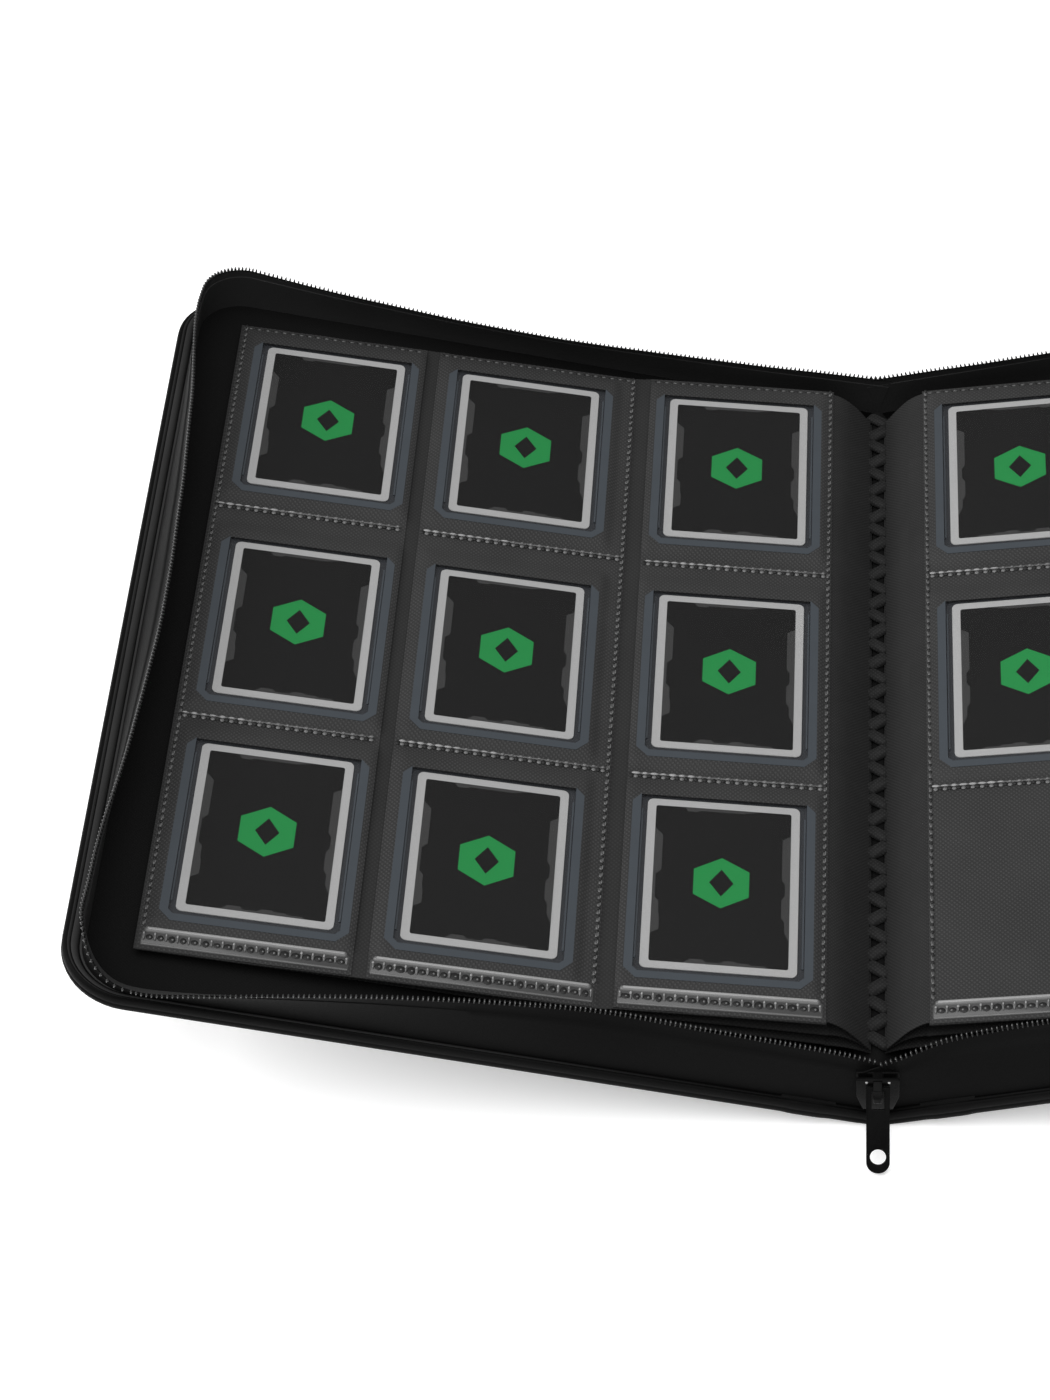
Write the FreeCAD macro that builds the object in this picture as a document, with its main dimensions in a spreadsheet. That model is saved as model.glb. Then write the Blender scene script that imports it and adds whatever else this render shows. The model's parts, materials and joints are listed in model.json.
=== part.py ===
import FreeCAD, Part
import os
import re
import Sketcher

# A zip-round binder for trading cards in rigid sleeves, opened and lying on its spine.
# Origin: centre of the spine's flat underside. +X to the right cover, +Y away from the slider, +Z up.
# The left half is drawn at negative X and the right half mirrors it.
# "reach" is measured out from the centre line along a tilted plane, "rise" square to that plane.

sizes = {
    # covers and spine
    "cover_tilt": 13.85,
    "cover_reach": 331.0,
    "cover_half_length": 205.0,
    "cover_corner": 28.0,
    "cover_thick": 8.0,
    "skin_thick": 1.4,
    "lining_thick": 1.3,
    "edging_width": 2.5,
    "base_half_width": 9.0,
    "fold_reach": 28.3,
    "fold_gap": 0.35,
    "fold_undercut": 2.6,
    "lining_undercut": 0.4,
    # zip wall round each cover
    "band_reach": 322.5,
    "band_half_length": 200.6,
    "band_corner": 22.0,
    "band_thick": 1.4,
    "band_rise": 21.5,
    "tape_rise": 25.3,
    "tape_thick": 0.9,
    "teeth_rise": 27.2,
    "teeth_thick": 1.2,
    "gusset_offset": 201.1,
    "gusset_slot": 9.5,
    "gusset_slot_foot": 9.0,
    # leaves
    "leaf_half_length": 183.0,
    "leaf_root": 24.2,
    "leaf_kink": 112.0,
    "leaf_bend_inner": 106.5,
    "leaf_bend_outer": 111.5,
    "leaf_reach": 298.0,
    "leaf_thick": 0.6,
    "lower_root_rise": 9.0,
    "lower_root_step": 7.0,
    "lower_kink_rise": 5.0,
    "lower_kink_step": 3.4,
    "lower_edge_rise": 2.2,
    "lower_edge_step": 0.8,
    "inner_tilt": 6.25,
    "inner_level": 37.3,
    "outer_tilt": 11.44,
    "outer_level": 26.1,
    # pockets, rigid sleeves and cards
    "film_thick": 0.4,
    "sleeve_depth": 0.5,
    "sleeve_wide": 76.2,
    "sleeve_long": 101.6,
    "sleeve_thick": 1.9,
    "sleeve_slot_wide": 67.0,
    "sleeve_slot_thick": 0.6,
    "sleeve_seal": 3.5,
    "card_wide": 63.5,
    "card_long": 88.9,
    "card_thick": 0.35,
    "leaf_core_depth": 2.5,
    "rib_wide": 1.6,
    "row_upper": 125.3,
    "row_middle": 0.0,
    "row_lower": -117.5,
    "column_outer": 252.4,
    "column_middle": 162.1,
    "column_inner": 64.0,
    "film_outer_from": 211.5,
    "film_outer_to": 297.0,
    "film_middle_from": 113.5,
    "film_middle_to": 205.5,
    "film_inner_from": 24.4,
    "film_inner_to": 105.0,
    # binding in the gutter
    "binding_half_length": 196.0,
    "binding_top": 17.6,
    "binding_half_top": 5.0,
    "binding_half_foot": 11.0,
    "lacing_half_wide": 1.2,
    "lacing_thick": 0.8,
    "stitch_pitch": 9.0,
    "stitch_count": 43,
    "stitch_half_wide": 4.0,
    "stitch_thick": 1.1,
    "stitch_slope": 3.6,
    "margin_half_length": 181.5,
    "margin_gap": 0.4,
    "margin_under_film": 0.3,
    "margin_curl": 9.0,
    "margin_curl_depth": 1.2,
    "margin_crest": 7.0,
    "margin_crest_gap": 1.2,
    "margin_side_gap": 0.6,
    "margin_side_rise": 0.5,
    "margin_foot_gap": 0.8,
    "margin_foot_rise": 6.0,
    "margin_root_rise": 2.4,
    "margin_tuck": 1.4,
    # zip slider and pull, outside the near end of the spine
    "chain_from": 7.1,
    "chain_to": 20.0,
    "chain_half_wide": 3.0,
    "chain_near": -203.9,
    "chain_far": -202.5,
    "stop_to": 8.9,
    "stop_half_wide": 4.0,
    "stop_near": -204.9,
    "slider_foot": 11.5,
    "slider_inner_foot": 13.0,
    "slider_top": 31.0,
    "slider_waist": 20.0,
    "slider_half_foot": 6.0,
    "slider_half_top": 8.5,
    "slider_near": -205.8,
    "slider_plate_back": -204.2,
    "slider_inner_near": -202.25,
    "slider_inner_back": -201.0,
    "neck_half_wide": 2.0,
    "neck_foot": 25.0,
    "bridge_half_wide": 1.8,
    "bridge_foot": 19.5,
    "bridge_top": 30.5,
    "bridge_leg": 1.4,
    "bridge_inset": 2.24,
    "bridge_near": -209.8,
    "bridge_back": -208.6,
    "pull_axis_level": 27.0,
    "pull_axis_near": -207.15,
    "pull_droop": 50.0,
    "pull_reach": 34.0,
    "pull_head": 0.9,
    "pull_half_wide": 4.65,
    "pull_thick": 1.6,
    "pull_corner": 4.55,
    "pull_window_half": 2.5,
    "pull_window_to": 8.2,
    "pull_hole_reach": 27.4,
    "pull_hole_radius": 3.15,
}

doc = FreeCAD.newDocument("CardBinder")
sheet = doc.addObject("Spreadsheet::Sheet", "Sizes")
for row, (alias, number) in enumerate(sizes.items(), start=1):
    sheet.set(f"A{row}", alias.replace("_", " "))
    sheet.set(f"B{row}", str(number))
    sheet.setAlias(f"B{row}", alias)
doc.recompute()

parts = []
Y_AXIS = FreeCAD.Vector(0, 1, 0)
X_AXIS = FreeCAD.Vector(1, 0, 0)
sides = {"left": "-1", "right": "1"}
half_base = "(cover_thick / cos(cover_tilt) - base_half_width * tan(cover_tilt))"


def formula(text):
    """Names of sizes become references to the sheet's cells."""
    return re.sub(r"[a-z]+(?:_[a-z]+)+", lambda found: "Sizes." + found.group(0), text)


def bind(thing, prop, text):
    thing.setExpression(prop, formula(text))


def keep(thing, label):
    thing.Label = label
    parts.append(thing)
    return thing


def origin_plane(body, role):
    return [item for item in body.Origin.OriginFeatures if item.Role == role][0]


def new_body(label):
    body = keep(doc.addObject("PartDesign::Body", label), label)
    body.AllowCompound = True
    return body


def place_on(thing, side, tilt, level):
    """Sets a piece drawn flat onto the plane that climbs outward from the centre line."""
    axis = Y_AXIS if side == "left" else -Y_AXIS
    thing.Placement = FreeCAD.Placement(FreeCAD.Vector(), FreeCAD.Rotation(axis, 1))
    bind(thing, "Placement.Rotation.Angle", f"{tilt} * 1 deg")
    bind(thing, "Placement.Base.z", f"{level} * 1 mm")


def new_sketch(body, role, lift=None):
    sketch = body.newObject("Sketcher::SketchObject", "Outline")
    sketch.AttachmentSupport = [(origin_plane(body, role), "")]
    sketch.MapMode = "FlatFace"
    if lift:
        bind(sketch, "AttachmentOffset.Base.z", f"({lift}) * 1 mm")
    return sketch


def fix(sketch, kind, index, point, text, seed):
    number = sketch.addConstraint(Sketcher.Constraint(kind, -1, 1, index, point, seed))
    name = f"{kind}_{index}_{point}"
    sketch.renameConstraint(number, name)
    bind(sketch, f"Constraints.{name}", f"({text}) * 1 mm")


def polygon(sketch, corners):
    """A closed outline; each corner is a pair of formulas, tied to the sketch's origin."""
    first = sketch.GeometryCount
    count = len(corners)
    turn = FreeCAD.Rotation(FreeCAD.Vector(0, 0, 1), 360.0 / count)
    ring = [FreeCAD.Vector(50, 20, 0)]
    for _ in range(count - 1):
        ring.append(turn.multVec(ring[-1]))
    for i in range(count):
        sketch.addGeometry(Part.LineSegment(ring[i], ring[(i + 1) % count]))
    for i in range(count):
        follower = first + (i + 1) % count
        sketch.addConstraint(Sketcher.Constraint("Coincident", first + i, 2, follower, 1))
    for i, (across, along) in enumerate(corners):
        fix(sketch, "DistanceX", first + i, 1, across, ring[i].x)
        fix(sketch, "DistanceY", first + i, 1, along, ring[i].y)


def pad(body, sketch, length, symmetric=False):
    feature = body.newObject("PartDesign::Pad", "Pad")
    feature.Profile = sketch
    if symmetric:
        feature.SideType = "Symmetric"
    bind(feature, "Length", f"({length}) * 1 mm")
    return feature


def slab(label, role, corners, length, lift=None, symmetric=False):
    """One outline padded square to its plane."""
    body = new_body(label)
    sketch = new_sketch(body, role, lift)
    polygon(sketch, corners)
    pad(body, sketch, length, symmetric)
    return body


def add_slab(body, role, corners, length, lift=None, symmetric=False):
    sketch = new_sketch(body, role, lift)
    polygon(sketch, corners)
    return pad(body, sketch, length, symmetric)


def round_uprights(body, radius, across, along, direction):
    """Rounds the edges square to the outline at the corners nearest (across, along) and its mirror."""
    doc.recompute()
    base = body.Tip
    names = []
    for number, edge in enumerate(base.Shape.Edges, start=1):
        middle = edge.CenterOfMass
        upright = abs(edge.tangentAt(edge.FirstParameter).dot(direction)) > 0.999
        if upright and abs(abs(middle.x) - across) < 0.1 and abs(abs(middle.y) - along) < 0.1:
            names.append(f"Edge{number}")
    fillet = body.newObject("PartDesign::Fillet", "Rounding")
    fillet.Base = (base, names)
    bind(fillet, "Radius", f"({radius}) * 1 mm")


def cover_plane(sign, reach, rise):
    """X and Z of a point given by its reach and rise over the inside face of a cover."""
    across = f"{sign} * (({reach}) * cos(cover_tilt) - ({rise}) * sin(cover_tilt))"
    level = f"{half_base} + ({reach}) * sin(cover_tilt) + ({rise}) * cos(cover_tilt)"
    return across, level


UP = FreeCAD.Vector(0, 0, 1)


# ---- covers: skin, board, edging and lining, each a flat layer with two rounded corners

def plate(label, side, reach, half_length, corner, foot, thick):
    sign = sides[side]
    near = f"{sign} * (fold_reach + fold_gap)"
    far = f"{sign} * ({reach})"
    half = f"({half_length})"
    corners = [(near, f"-{half}"), (far, f"-{half}"), (far, half), (near, half)]
    body = slab(label, "XY_Plane", corners, thick, lift=foot)
    doc.recompute()
    box = body.Shape.BoundBox
    round_uprights(body, corner, max(abs(box.XMin), abs(box.XMax)), box.YMax, UP)
    place_on(body, side, "cover_tilt", half_base)
    return body


def wall(label, side, reach, half_length, corner, thick, foot, top):
    """A thin wall standing along the near, outer and far edges of a cover."""
    sign = sides[side]
    start = f"{sign} * (fold_reach + fold_gap)"
    out = f"{sign} * ({reach})"
    out_inner = f"{sign} * ({reach} - {thick})"
    half = f"({half_length})"
    half_inner = f"({half_length} - {thick})"
    corners = [
        (start, f"-{half}"),
        (out, f"-{half}"),
        (out, half),
        (start, half),
        (start, half_inner),
        (out_inner, half_inner),
        (out_inner, f"-{half_inner}"),
        (start, f"-{half_inner}"),
    ]
    body = slab(label, "XY_Plane", corners, f"{top} - ({foot})", lift=foot)
    doc.recompute()
    box = body.Shape.BoundBox
    far = max(abs(box.XMin), abs(box.XMax))
    depth = sheet.get(thick)
    round_uprights(body, corner, far, box.YMax, UP)
    round_uprights(body, f"{corner} - {thick}", far - depth, box.YMax - depth, UP)
    place_on(body, side, "cover_tilt", half_base)
    return body


def build_cover(side):
    foot = "-1 * cover_thick"
    edge_reach = "cover_reach - edging_width"
    edge_half = "cover_half_length - edging_width"
    edge_corner = "cover_corner - edging_width"
    board_foot = "skin_thick - cover_thick"
    board_thick = "cover_thick - skin_thick - lining_thick"
    plate(
        f"{side}_cover_skin", side, "cover_reach", "cover_half_length", "cover_corner", foot,
        "skin_thick",
    )
    plate(f"{side}_cover_board", side, edge_reach, edge_half, edge_corner, board_foot, board_thick)
    plate(
        f"{side}_cover_lining", side, edge_reach, edge_half, edge_corner, "-1 * lining_thick",
        "lining_thick",
    )
    wall(
        f"{side}_cover_edging", side, "cover_reach", "cover_half_length", "cover_corner",
        "edging_width", board_foot, "0",
    )


def build_zip_wall(side):
    reach = "band_reach"
    half = "band_half_length"
    inset = "(band_thick - tape_thick) / 2"
    wall(f"{side}_zip_band", side, reach, half, "band_corner", "band_thick", "0", "band_rise")
    wall(
        f"{side}_zip_tape", side, f"({reach} - {inset})", f"({half} - {inset})", "band_corner",
        "tape_thick", "band_rise", "tape_rise",
    )
    wall(f"{side}_zip_teeth", side, reach, half, "band_corner", "teeth_thick", "tape_rise", "teeth_rise")


# ---- spine: a shallow V with a flat foot, layered like the covers

def level_half(rise, level):
    """Half the width at which a plane parallel to the covers meets a level."""
    return f"(({level}) - {half_base} - ({rise}) / cos(cover_tilt)) / tan(cover_tilt)"


def spine_layer(label, foot, top, foot_level, crown):
    """One layer of the V between two heights over the inside planes; its foot is cut off level."""
    undercut_foot = f"fold_undercut * (-1 * ({foot})) / cover_thick"
    undercut_top = f"fold_undercut * (-1 * ({top})) / cover_thick"
    tail = f"(fold_reach - fold_gap - {undercut_foot})"
    head = f"(fold_reach - fold_gap - {undercut_top})"
    flat = level_half(foot, foot_level)
    corners = [
        cover_plane("-1", tail, foot),
        (f"-1 * {flat}", foot_level),
        (flat, foot_level),
        cover_plane("1", tail, foot),
        cover_plane("1", head, top),
        *crown,
        cover_plane("-1", head, top),
    ]
    return slab(label, "XZ_Plane", corners, "2 * cover_half_length", symmetric=True)


def build_spine():
    skin_flat = level_half("skin_thick - cover_thick", "skin_thick")
    crown = [(skin_flat, "skin_thick"), (f"-1 * {skin_flat}", "skin_thick")]
    spine_layer("spine_skin", "-1 * cover_thick", "skin_thick - cover_thick", "0", crown)
    crown = [("0", f"{half_base} - lining_thick / cos(cover_tilt)")]
    spine_layer("spine_board", "skin_thick - cover_thick", "-1 * lining_thick", "skin_thick", crown)
    lining_tail = "fold_reach - fold_gap - lining_undercut"
    lining = [
        cover_plane("-1", lining_tail, "-1 * lining_thick"),
        ("0", f"{half_base} - lining_thick / cos(cover_tilt)"),
        cover_plane("1", lining_tail, "-1 * lining_thick"),
        cover_plane("1", "fold_reach - fold_gap", "0"),
        ("0", half_base),
        cover_plane("-1", "fold_reach - fold_gap", "0"),
    ]
    slab("spine_lining", "XZ_Plane", lining, "2 * cover_half_length", symmetric=True)


def build_gussets():
    """The cloth ends that join the two zip walls across the spine."""
    foot_reach = "fold_reach - 2 * fold_gap"
    slot_top = f"{half_base} + gusset_slot * tan(cover_tilt) + tape_rise / cos(cover_tilt)"
    near = [
        cover_plane("-1", foot_reach, "tape_rise"),
        cover_plane("-1", foot_reach, "0"),
        ("0", half_base),
        cover_plane("1", foot_reach, "0"),
        cover_plane("1", foot_reach, "tape_rise"),
        ("gusset_slot", slot_top),
        ("gusset_slot", "gusset_slot_foot"),
        ("-1 * gusset_slot", "gusset_slot_foot"),
        ("-1 * gusset_slot", slot_top),
    ]
    slab("near_gusset", "XZ_Plane", near, "band_thick", lift="gusset_offset")
    far = [
        cover_plane("-1", foot_reach, "tape_rise"),
        cover_plane("-1", foot_reach, "0"),
        ("0", half_base),
        cover_plane("1", foot_reach, "0"),
        cover_plane("1", foot_reach, "tape_rise"),
        ("0", f"{half_base} + tape_rise / cos(cover_tilt)"),
    ]
    slab("far_gusset", "XZ_Plane", far, "band_thick", lift="-1 * gusset_offset - band_thick")
    strip_top = f"{half_base} + gusset_slot * tan(cover_tilt) + teeth_rise / cos(cover_tilt)"
    teeth = new_body("spine_zip_teeth")
    for sign in sides.values():
        run = [
            cover_plane(sign, foot_reach, "tape_rise"),
            (f"{sign} * gusset_slot", slot_top),
            (f"{sign} * gusset_slot", strip_top),
            cover_plane(sign, foot_reach, "teeth_rise"),
        ]
        add_slab(teeth, "XZ_Plane", run, "teeth_thick", lift="gusset_offset")
    far_run = [
        cover_plane("-1", foot_reach, "tape_rise"),
        ("0", f"{half_base} + tape_rise / cos(cover_tilt)"),
        cover_plane("1", foot_reach, "tape_rise"),
        cover_plane("1", foot_reach, "teeth_rise"),
        ("0", f"{half_base} + teeth_rise / cos(cover_tilt)"),
        cover_plane("-1", foot_reach, "teeth_rise"),
    ]
    add_slab(teeth, "XZ_Plane", far_run, "teeth_thick", lift="-1 * gusset_offset - band_thick")


def build_binding():
    foot_level = f"{half_base} + binding_half_foot * tan(cover_tilt)"
    strip = [
        ("0", half_base),
        ("binding_half_foot", foot_level),
        ("binding_half_top", "binding_top"),
        ("-1 * binding_half_top", "binding_top"),
        ("-1 * binding_half_foot", foot_level),
    ]
    slab("binding_strip", "XZ_Plane", strip, "2 * binding_half_length", symmetric=True)
    lacing = new_body("gutter_lacing")
    first = "(-1 * stitch_pitch * (stitch_count - 1) / 2)"
    half = "(stitch_pitch * stitch_count / 2)"
    ribbon = [
        ("-1 * lacing_half_wide", f"-{half}"),
        ("lacing_half_wide", f"-{half}"),
        ("lacing_half_wide", half),
        ("-1 * lacing_half_wide", half),
    ]
    add_slab(lacing, "XY_Plane", ribbon, "lacing_thick", lift="binding_top")
    stitch = [
        ("-1 * stitch_half_wide", f"{first} + stitch_slope / 2"),
        ("0", f"{first} - stitch_slope"),
        ("stitch_half_wide", f"{first} - stitch_slope / 2"),
        ("0", f"{first} + stitch_slope"),
    ]
    bar = add_slab(lacing, "XY_Plane", stitch, "stitch_thick", lift="binding_top + lacing_thick / 2")
    row = lacing.newObject("PartDesign::LinearPattern", "Row")
    row.Originals = [bar]
    row.Direction = (doc.getObject(bar.Profile[0].Name), ["V_Axis"])
    row.Mode = "Spacing"
    bind(row, "Offset", "stitch_pitch * 1 mm")
    bind(row, "Occurrences", "stitch_count")
    lacing.Tip = row


# ---- leaves: two plain ones under each side, and the open one with its pockets

def build_lower_leaf(side, number, level):
    """A bent cloth leaf that follows the fan of the stack: root, kink, outer edge."""
    sign = sides[side]
    root = f"(lower_root_rise + {level} * lower_root_step)"
    kink = f"(lower_kink_rise + {level} * lower_kink_step)"
    edge = f"(lower_edge_rise + {level} * lower_edge_step)"
    corners = [
        (f"{sign} * leaf_root", root),
        (f"{sign} * leaf_kink", kink),
        (f"{sign} * leaf_reach", edge),
        (f"{sign} * leaf_reach", f"{edge} + leaf_thick"),
        (f"{sign} * leaf_kink", f"{kink} + leaf_thick"),
        (f"{sign} * leaf_root", f"{root} + leaf_thick"),
    ]
    body = slab(f"{side}_leaf_{number}", "XZ_Plane", corners, "2 * leaf_half_length", symmetric=True)
    place_on(body, side, "cover_tilt", half_base)


def leaf_line(sign, reach, depth, plane):
    """X and Z of a point at a reach and a depth under the open leaf's film."""
    tilt = f"{plane}_tilt"
    across = f"{sign} * (({reach}) * cos({tilt}) + ({depth}) * sin({tilt}))"
    return across, f"{plane}_level + ({reach}) * sin({tilt}) - ({depth}) * cos({tilt})"


def bent_profile(sign, shallow, deep):
    """The open leaf's section: a flatter inner stretch, a short bend and a steeper outer stretch."""
    stations = [
        ("leaf_root", "inner"),
        ("leaf_bend_inner", "inner"),
        ("leaf_bend_outer", "outer"),
        ("leaf_reach", "outer"),
    ]
    below = [leaf_line(sign, reach, deep, plane) for reach, plane in stations]
    above = [leaf_line(sign, reach, shallow, plane) for reach, plane in reversed(stations)]
    return below + above


def build_open_leaf(side):
    sign = sides[side]
    body = new_body(f"{side}_leaf_sheet")
    core = bent_profile(sign, "leaf_core_depth", "leaf_core_depth + leaf_thick")
    add_slab(body, "XZ_Plane", core, "2 * leaf_half_length", symmetric=True)
    rib = bent_profile(sign, "film_thick", "leaf_core_depth")
    welds = [
        "-1 * (leaf_half_length - rib_wide / 2)",
        "-1 * ((row_upper + row_middle) / 2)",
        "-1 * ((row_middle + row_lower) / 2)",
        "leaf_half_length - rib_wide / 2",
    ]
    for weld in welds:
        add_slab(body, "XZ_Plane", rib, "rib_wide", lift=weld, symmetric=True)


def build_films(side):
    sign = sides[side]
    half = "leaf_half_length"
    for column, plane in (("outer", "outer"), ("middle", "outer"), ("inner", "inner")):
        inside = f"{sign} * film_{column}_from"
        outside = f"{sign} * film_{column}_to"
        corners = [(inside, f"-{half}"), (outside, f"-{half}"), (outside, half), (inside, half)]
        film = slab(f"{side}_film_{column}", "XY_Plane", corners, "film_thick", lift="-1 * film_thick")
        place_on(film, side, f"{plane}_tilt", f"{plane}_level")


def block(name, sign, column, row, wide, long, thick, depth, shift="0"):
    """A flat box centred on one pocket, its top at a depth under the film."""
    box = doc.addObject("Part::Box", name)
    bind(box, "Length", f"{wide} * 1 mm")
    bind(box, "Width", f"({long}) * 1 mm")
    bind(box, "Height", f"{thick} * 1 mm")
    bind(box, "Placement.Base.x", f"({sign} * column_{column} - {wide} / 2) * 1 mm")
    bind(box, "Placement.Base.y", f"(row_{row} - sleeve_long / 2 + {shift}) * 1 mm")
    bind(box, "Placement.Base.z", f"(-1 * ({depth}) - {thick}) * 1 mm")
    return box


def build_sleeves_and_cards(side, rows):
    """Rigid sleeves, open at the top edge, and the cards inside them, a column to a node."""
    sign = sides[side]
    slot_depth = "sleeve_depth + (sleeve_thick - sleeve_slot_thick) / 2"
    card_depth = "sleeve_depth + (sleeve_thick - card_thick) / 2"
    for column, plane in (("outer", "outer"), ("middle", "outer"), ("inner", "inner")):
        sleeves = []
        cards = []
        for row in rows:
            outer = block("Sleeve", sign, column, row, "sleeve_wide", "sleeve_long", "sleeve_thick",
                          "sleeve_depth")
            slot = block("Slot", sign, column, row, "sleeve_slot_wide", "sleeve_long",
                         "sleeve_slot_thick", slot_depth, "sleeve_seal")
            cut = doc.addObject("Part::Cut", "OpenSleeve")
            cut.Base = outer
            cut.Tool = slot
            sleeves.append(cut)
            cards.append(block("Card", sign, column, row, "card_wide", "card_long", "card_thick",
                               card_depth, "sleeve_seal + 1"))
        for kind, members in (("sleeves", sleeves), ("cards", cards)):
            label = f"{side}_{kind}_{column}"
            group = keep(doc.addObject("Part::Compound", label), label)
            group.Links = members
            place_on(group, side, f"{plane}_tilt", f"{plane}_level")


def build_margins(side):
    """The cloth margins of all the leaves on one side, gathered into the gutter."""
    sign = sides[side]
    root = "leaf_root - margin_gap"
    corners = [
        leaf_line(sign, root, "margin_under_film", "inner"),
        leaf_line(sign, "leaf_root - margin_curl", "margin_curl_depth", "inner"),
        (f"{sign} * (binding_half_top + margin_crest_gap)", "binding_top + margin_crest"),
        (f"{sign} * (binding_half_top + margin_side_gap)", "binding_top + margin_side_rise"),
        (f"{sign} * (binding_half_foot + margin_foot_gap)", f"{half_base} + margin_foot_rise"),
        cover_plane(sign, root, "margin_root_rise"),
        cover_plane(sign, root, "lower_root_rise + margin_tuck * lower_root_step"),
        leaf_line(sign, root, "leaf_core_depth + leaf_thick + margin_under_film", "inner"),
    ]
    slab(f"{side}_margins", "XZ_Plane", corners, "2 * margin_half_length", symmetric=True)


# ---- zip chain, slider and pull

def upright_rect(half_wide, foot, top):
    return [(f"-{half_wide}", foot), (half_wide, foot), (half_wide, top), (f"-{half_wide}", top)]


def build_slider():
    chain = upright_rect("chain_half_wide", "chain_from", "chain_to")
    slab("closed_chain", "XZ_Plane", chain, "chain_far - chain_near", lift="-1 * chain_far")
    stop = upright_rect("stop_half_wide", "chain_from", "stop_to")
    slab("bottom_stop", "XZ_Plane", stop, "chain_near - stop_near", lift="-1 * chain_near")
    body = new_body("slider")
    plates = (
        ("slider_foot", "slider_near", "slider_plate_back"),
        ("slider_inner_foot", "slider_inner_near", "slider_inner_back"),
    )
    for foot, near, back in plates:
        shield = [
            ("-slider_half_foot", foot),
            ("slider_half_foot", foot),
            ("slider_half_top", "slider_waist"),
            ("slider_half_top", "slider_top"),
            ("-slider_half_top", "slider_top"),
            ("-slider_half_top", "slider_waist"),
        ]
        add_slab(body, "XZ_Plane", shield, f"{back} - {near}", lift=f"-1 * {back}")
    neck = upright_rect("neck_half_wide", "neck_foot", "slider_top")
    add_slab(body, "XZ_Plane", neck, "slider_inner_near - slider_plate_back",
             lift="-1 * slider_inner_near")
    bridge = [
        ("slider_near", "bridge_foot"),
        ("bridge_near", "bridge_foot + bridge_leg"),
        ("bridge_near", "bridge_top - bridge_leg"),
        ("slider_near", "bridge_top"),
        ("slider_near", "bridge_top - bridge_leg"),
        ("bridge_back", "bridge_top - bridge_inset"),
        ("bridge_back", "bridge_foot + bridge_inset"),
        ("slider_near", "bridge_foot + bridge_leg"),
    ]
    slab("slider_bridge", "YZ_Plane", bridge, "2 * bridge_half_wide", symmetric=True)


def build_pull():
    body = new_body("pull_tab")
    sketch = new_sketch(body, "XY_Plane")
    corners = [
        ("-pull_half_wide", "-pull_reach"),
        ("pull_half_wide", "-pull_reach"),
        ("pull_half_wide", "pull_head"),
        ("-pull_half_wide", "pull_head"),
    ]
    polygon(sketch, corners)
    pad(body, sketch, "pull_thick", symmetric=True)
    round_uprights(body, "pull_corner", sheet.get("pull_half_wide"), sheet.get("pull_reach"), UP)
    doc.recompute()
    before = body.Shape.Volume
    holes = new_sketch(body, "XY_Plane")
    window = [
        ("-pull_window_half", "-pull_window_to"),
        ("pull_window_half", "-pull_window_to"),
        ("pull_window_half", "-pull_head"),
        ("-pull_window_half", "-pull_head"),
    ]
    polygon(holes, window)
    centre = FreeCAD.Vector(0, -20, 0)
    ring = holes.addGeometry(Part.Circle(centre, UP, 3))
    holes.addConstraint(Sketcher.Constraint("PointOnObject", ring, 3, -2))
    fix(holes, "DistanceY", ring, 3, "-pull_hole_reach", centre.y)
    number = holes.addConstraint(Sketcher.Constraint("Radius", ring, 3))
    holes.renameConstraint(number, "hole_size")
    bind(holes, "Constraints.hole_size", "pull_hole_radius * 1 mm")
    pocket = body.newObject("PartDesign::Pocket", "Pocket")
    pocket.Profile = holes
    pocket.SideType = "Symmetric"
    bind(pocket, "Length", "2 * pull_thick * 1 mm")
    doc.recompute()
    assert body.Shape.Volume < before - 50, "the pull's window and hole cut nothing"
    body.Placement = FreeCAD.Placement(FreeCAD.Vector(), FreeCAD.Rotation(X_AXIS, 1))
    bind(body, "Placement.Rotation.Angle", "pull_droop * 1 deg")
    bind(body, "Placement.Base.y", "pull_axis_near * 1 mm")
    bind(body, "Placement.Base.z", "pull_axis_level * 1 mm")


build_spine()
build_gussets()
build_binding()
for side in sides:
    build_cover(side)
    build_zip_wall(side)
    build_margins(side)
    build_lower_leaf(side, 2, 1)
    build_lower_leaf(side, 3, 0)
    build_open_leaf(side)
    build_films(side)
build_sleeves_and_cards("left", ("upper", "middle", "lower"))
build_sleeves_and_cards("right", ("upper", "middle"))
build_slider()
build_pull()
doc.recompute()

for thing in doc.Objects:
    bad = [state for state in thing.State if state in ("Invalid", "Error")]
    assert not bad, f"{thing.Label} did not build: {thing.State}"
os.makedirs("parts", exist_ok=True)
for thing in parts:
    shape = thing.Shape
    assert not shape.isNull() and shape.isValid(), f"{thing.Label} has no valid shape"
    assert shape.Solids, f"{thing.Label} has no solid"
    print(f"{thing.Label}: {len(shape.Solids)} solid(s), {shape.Volume / 1000:.2f} cm3")
    shape.exportStep(f"parts/{thing.Label}.step")
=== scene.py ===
import json
import math
import random

import bmesh
import bpy
from mathutils import Matrix, Vector, noise


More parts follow.
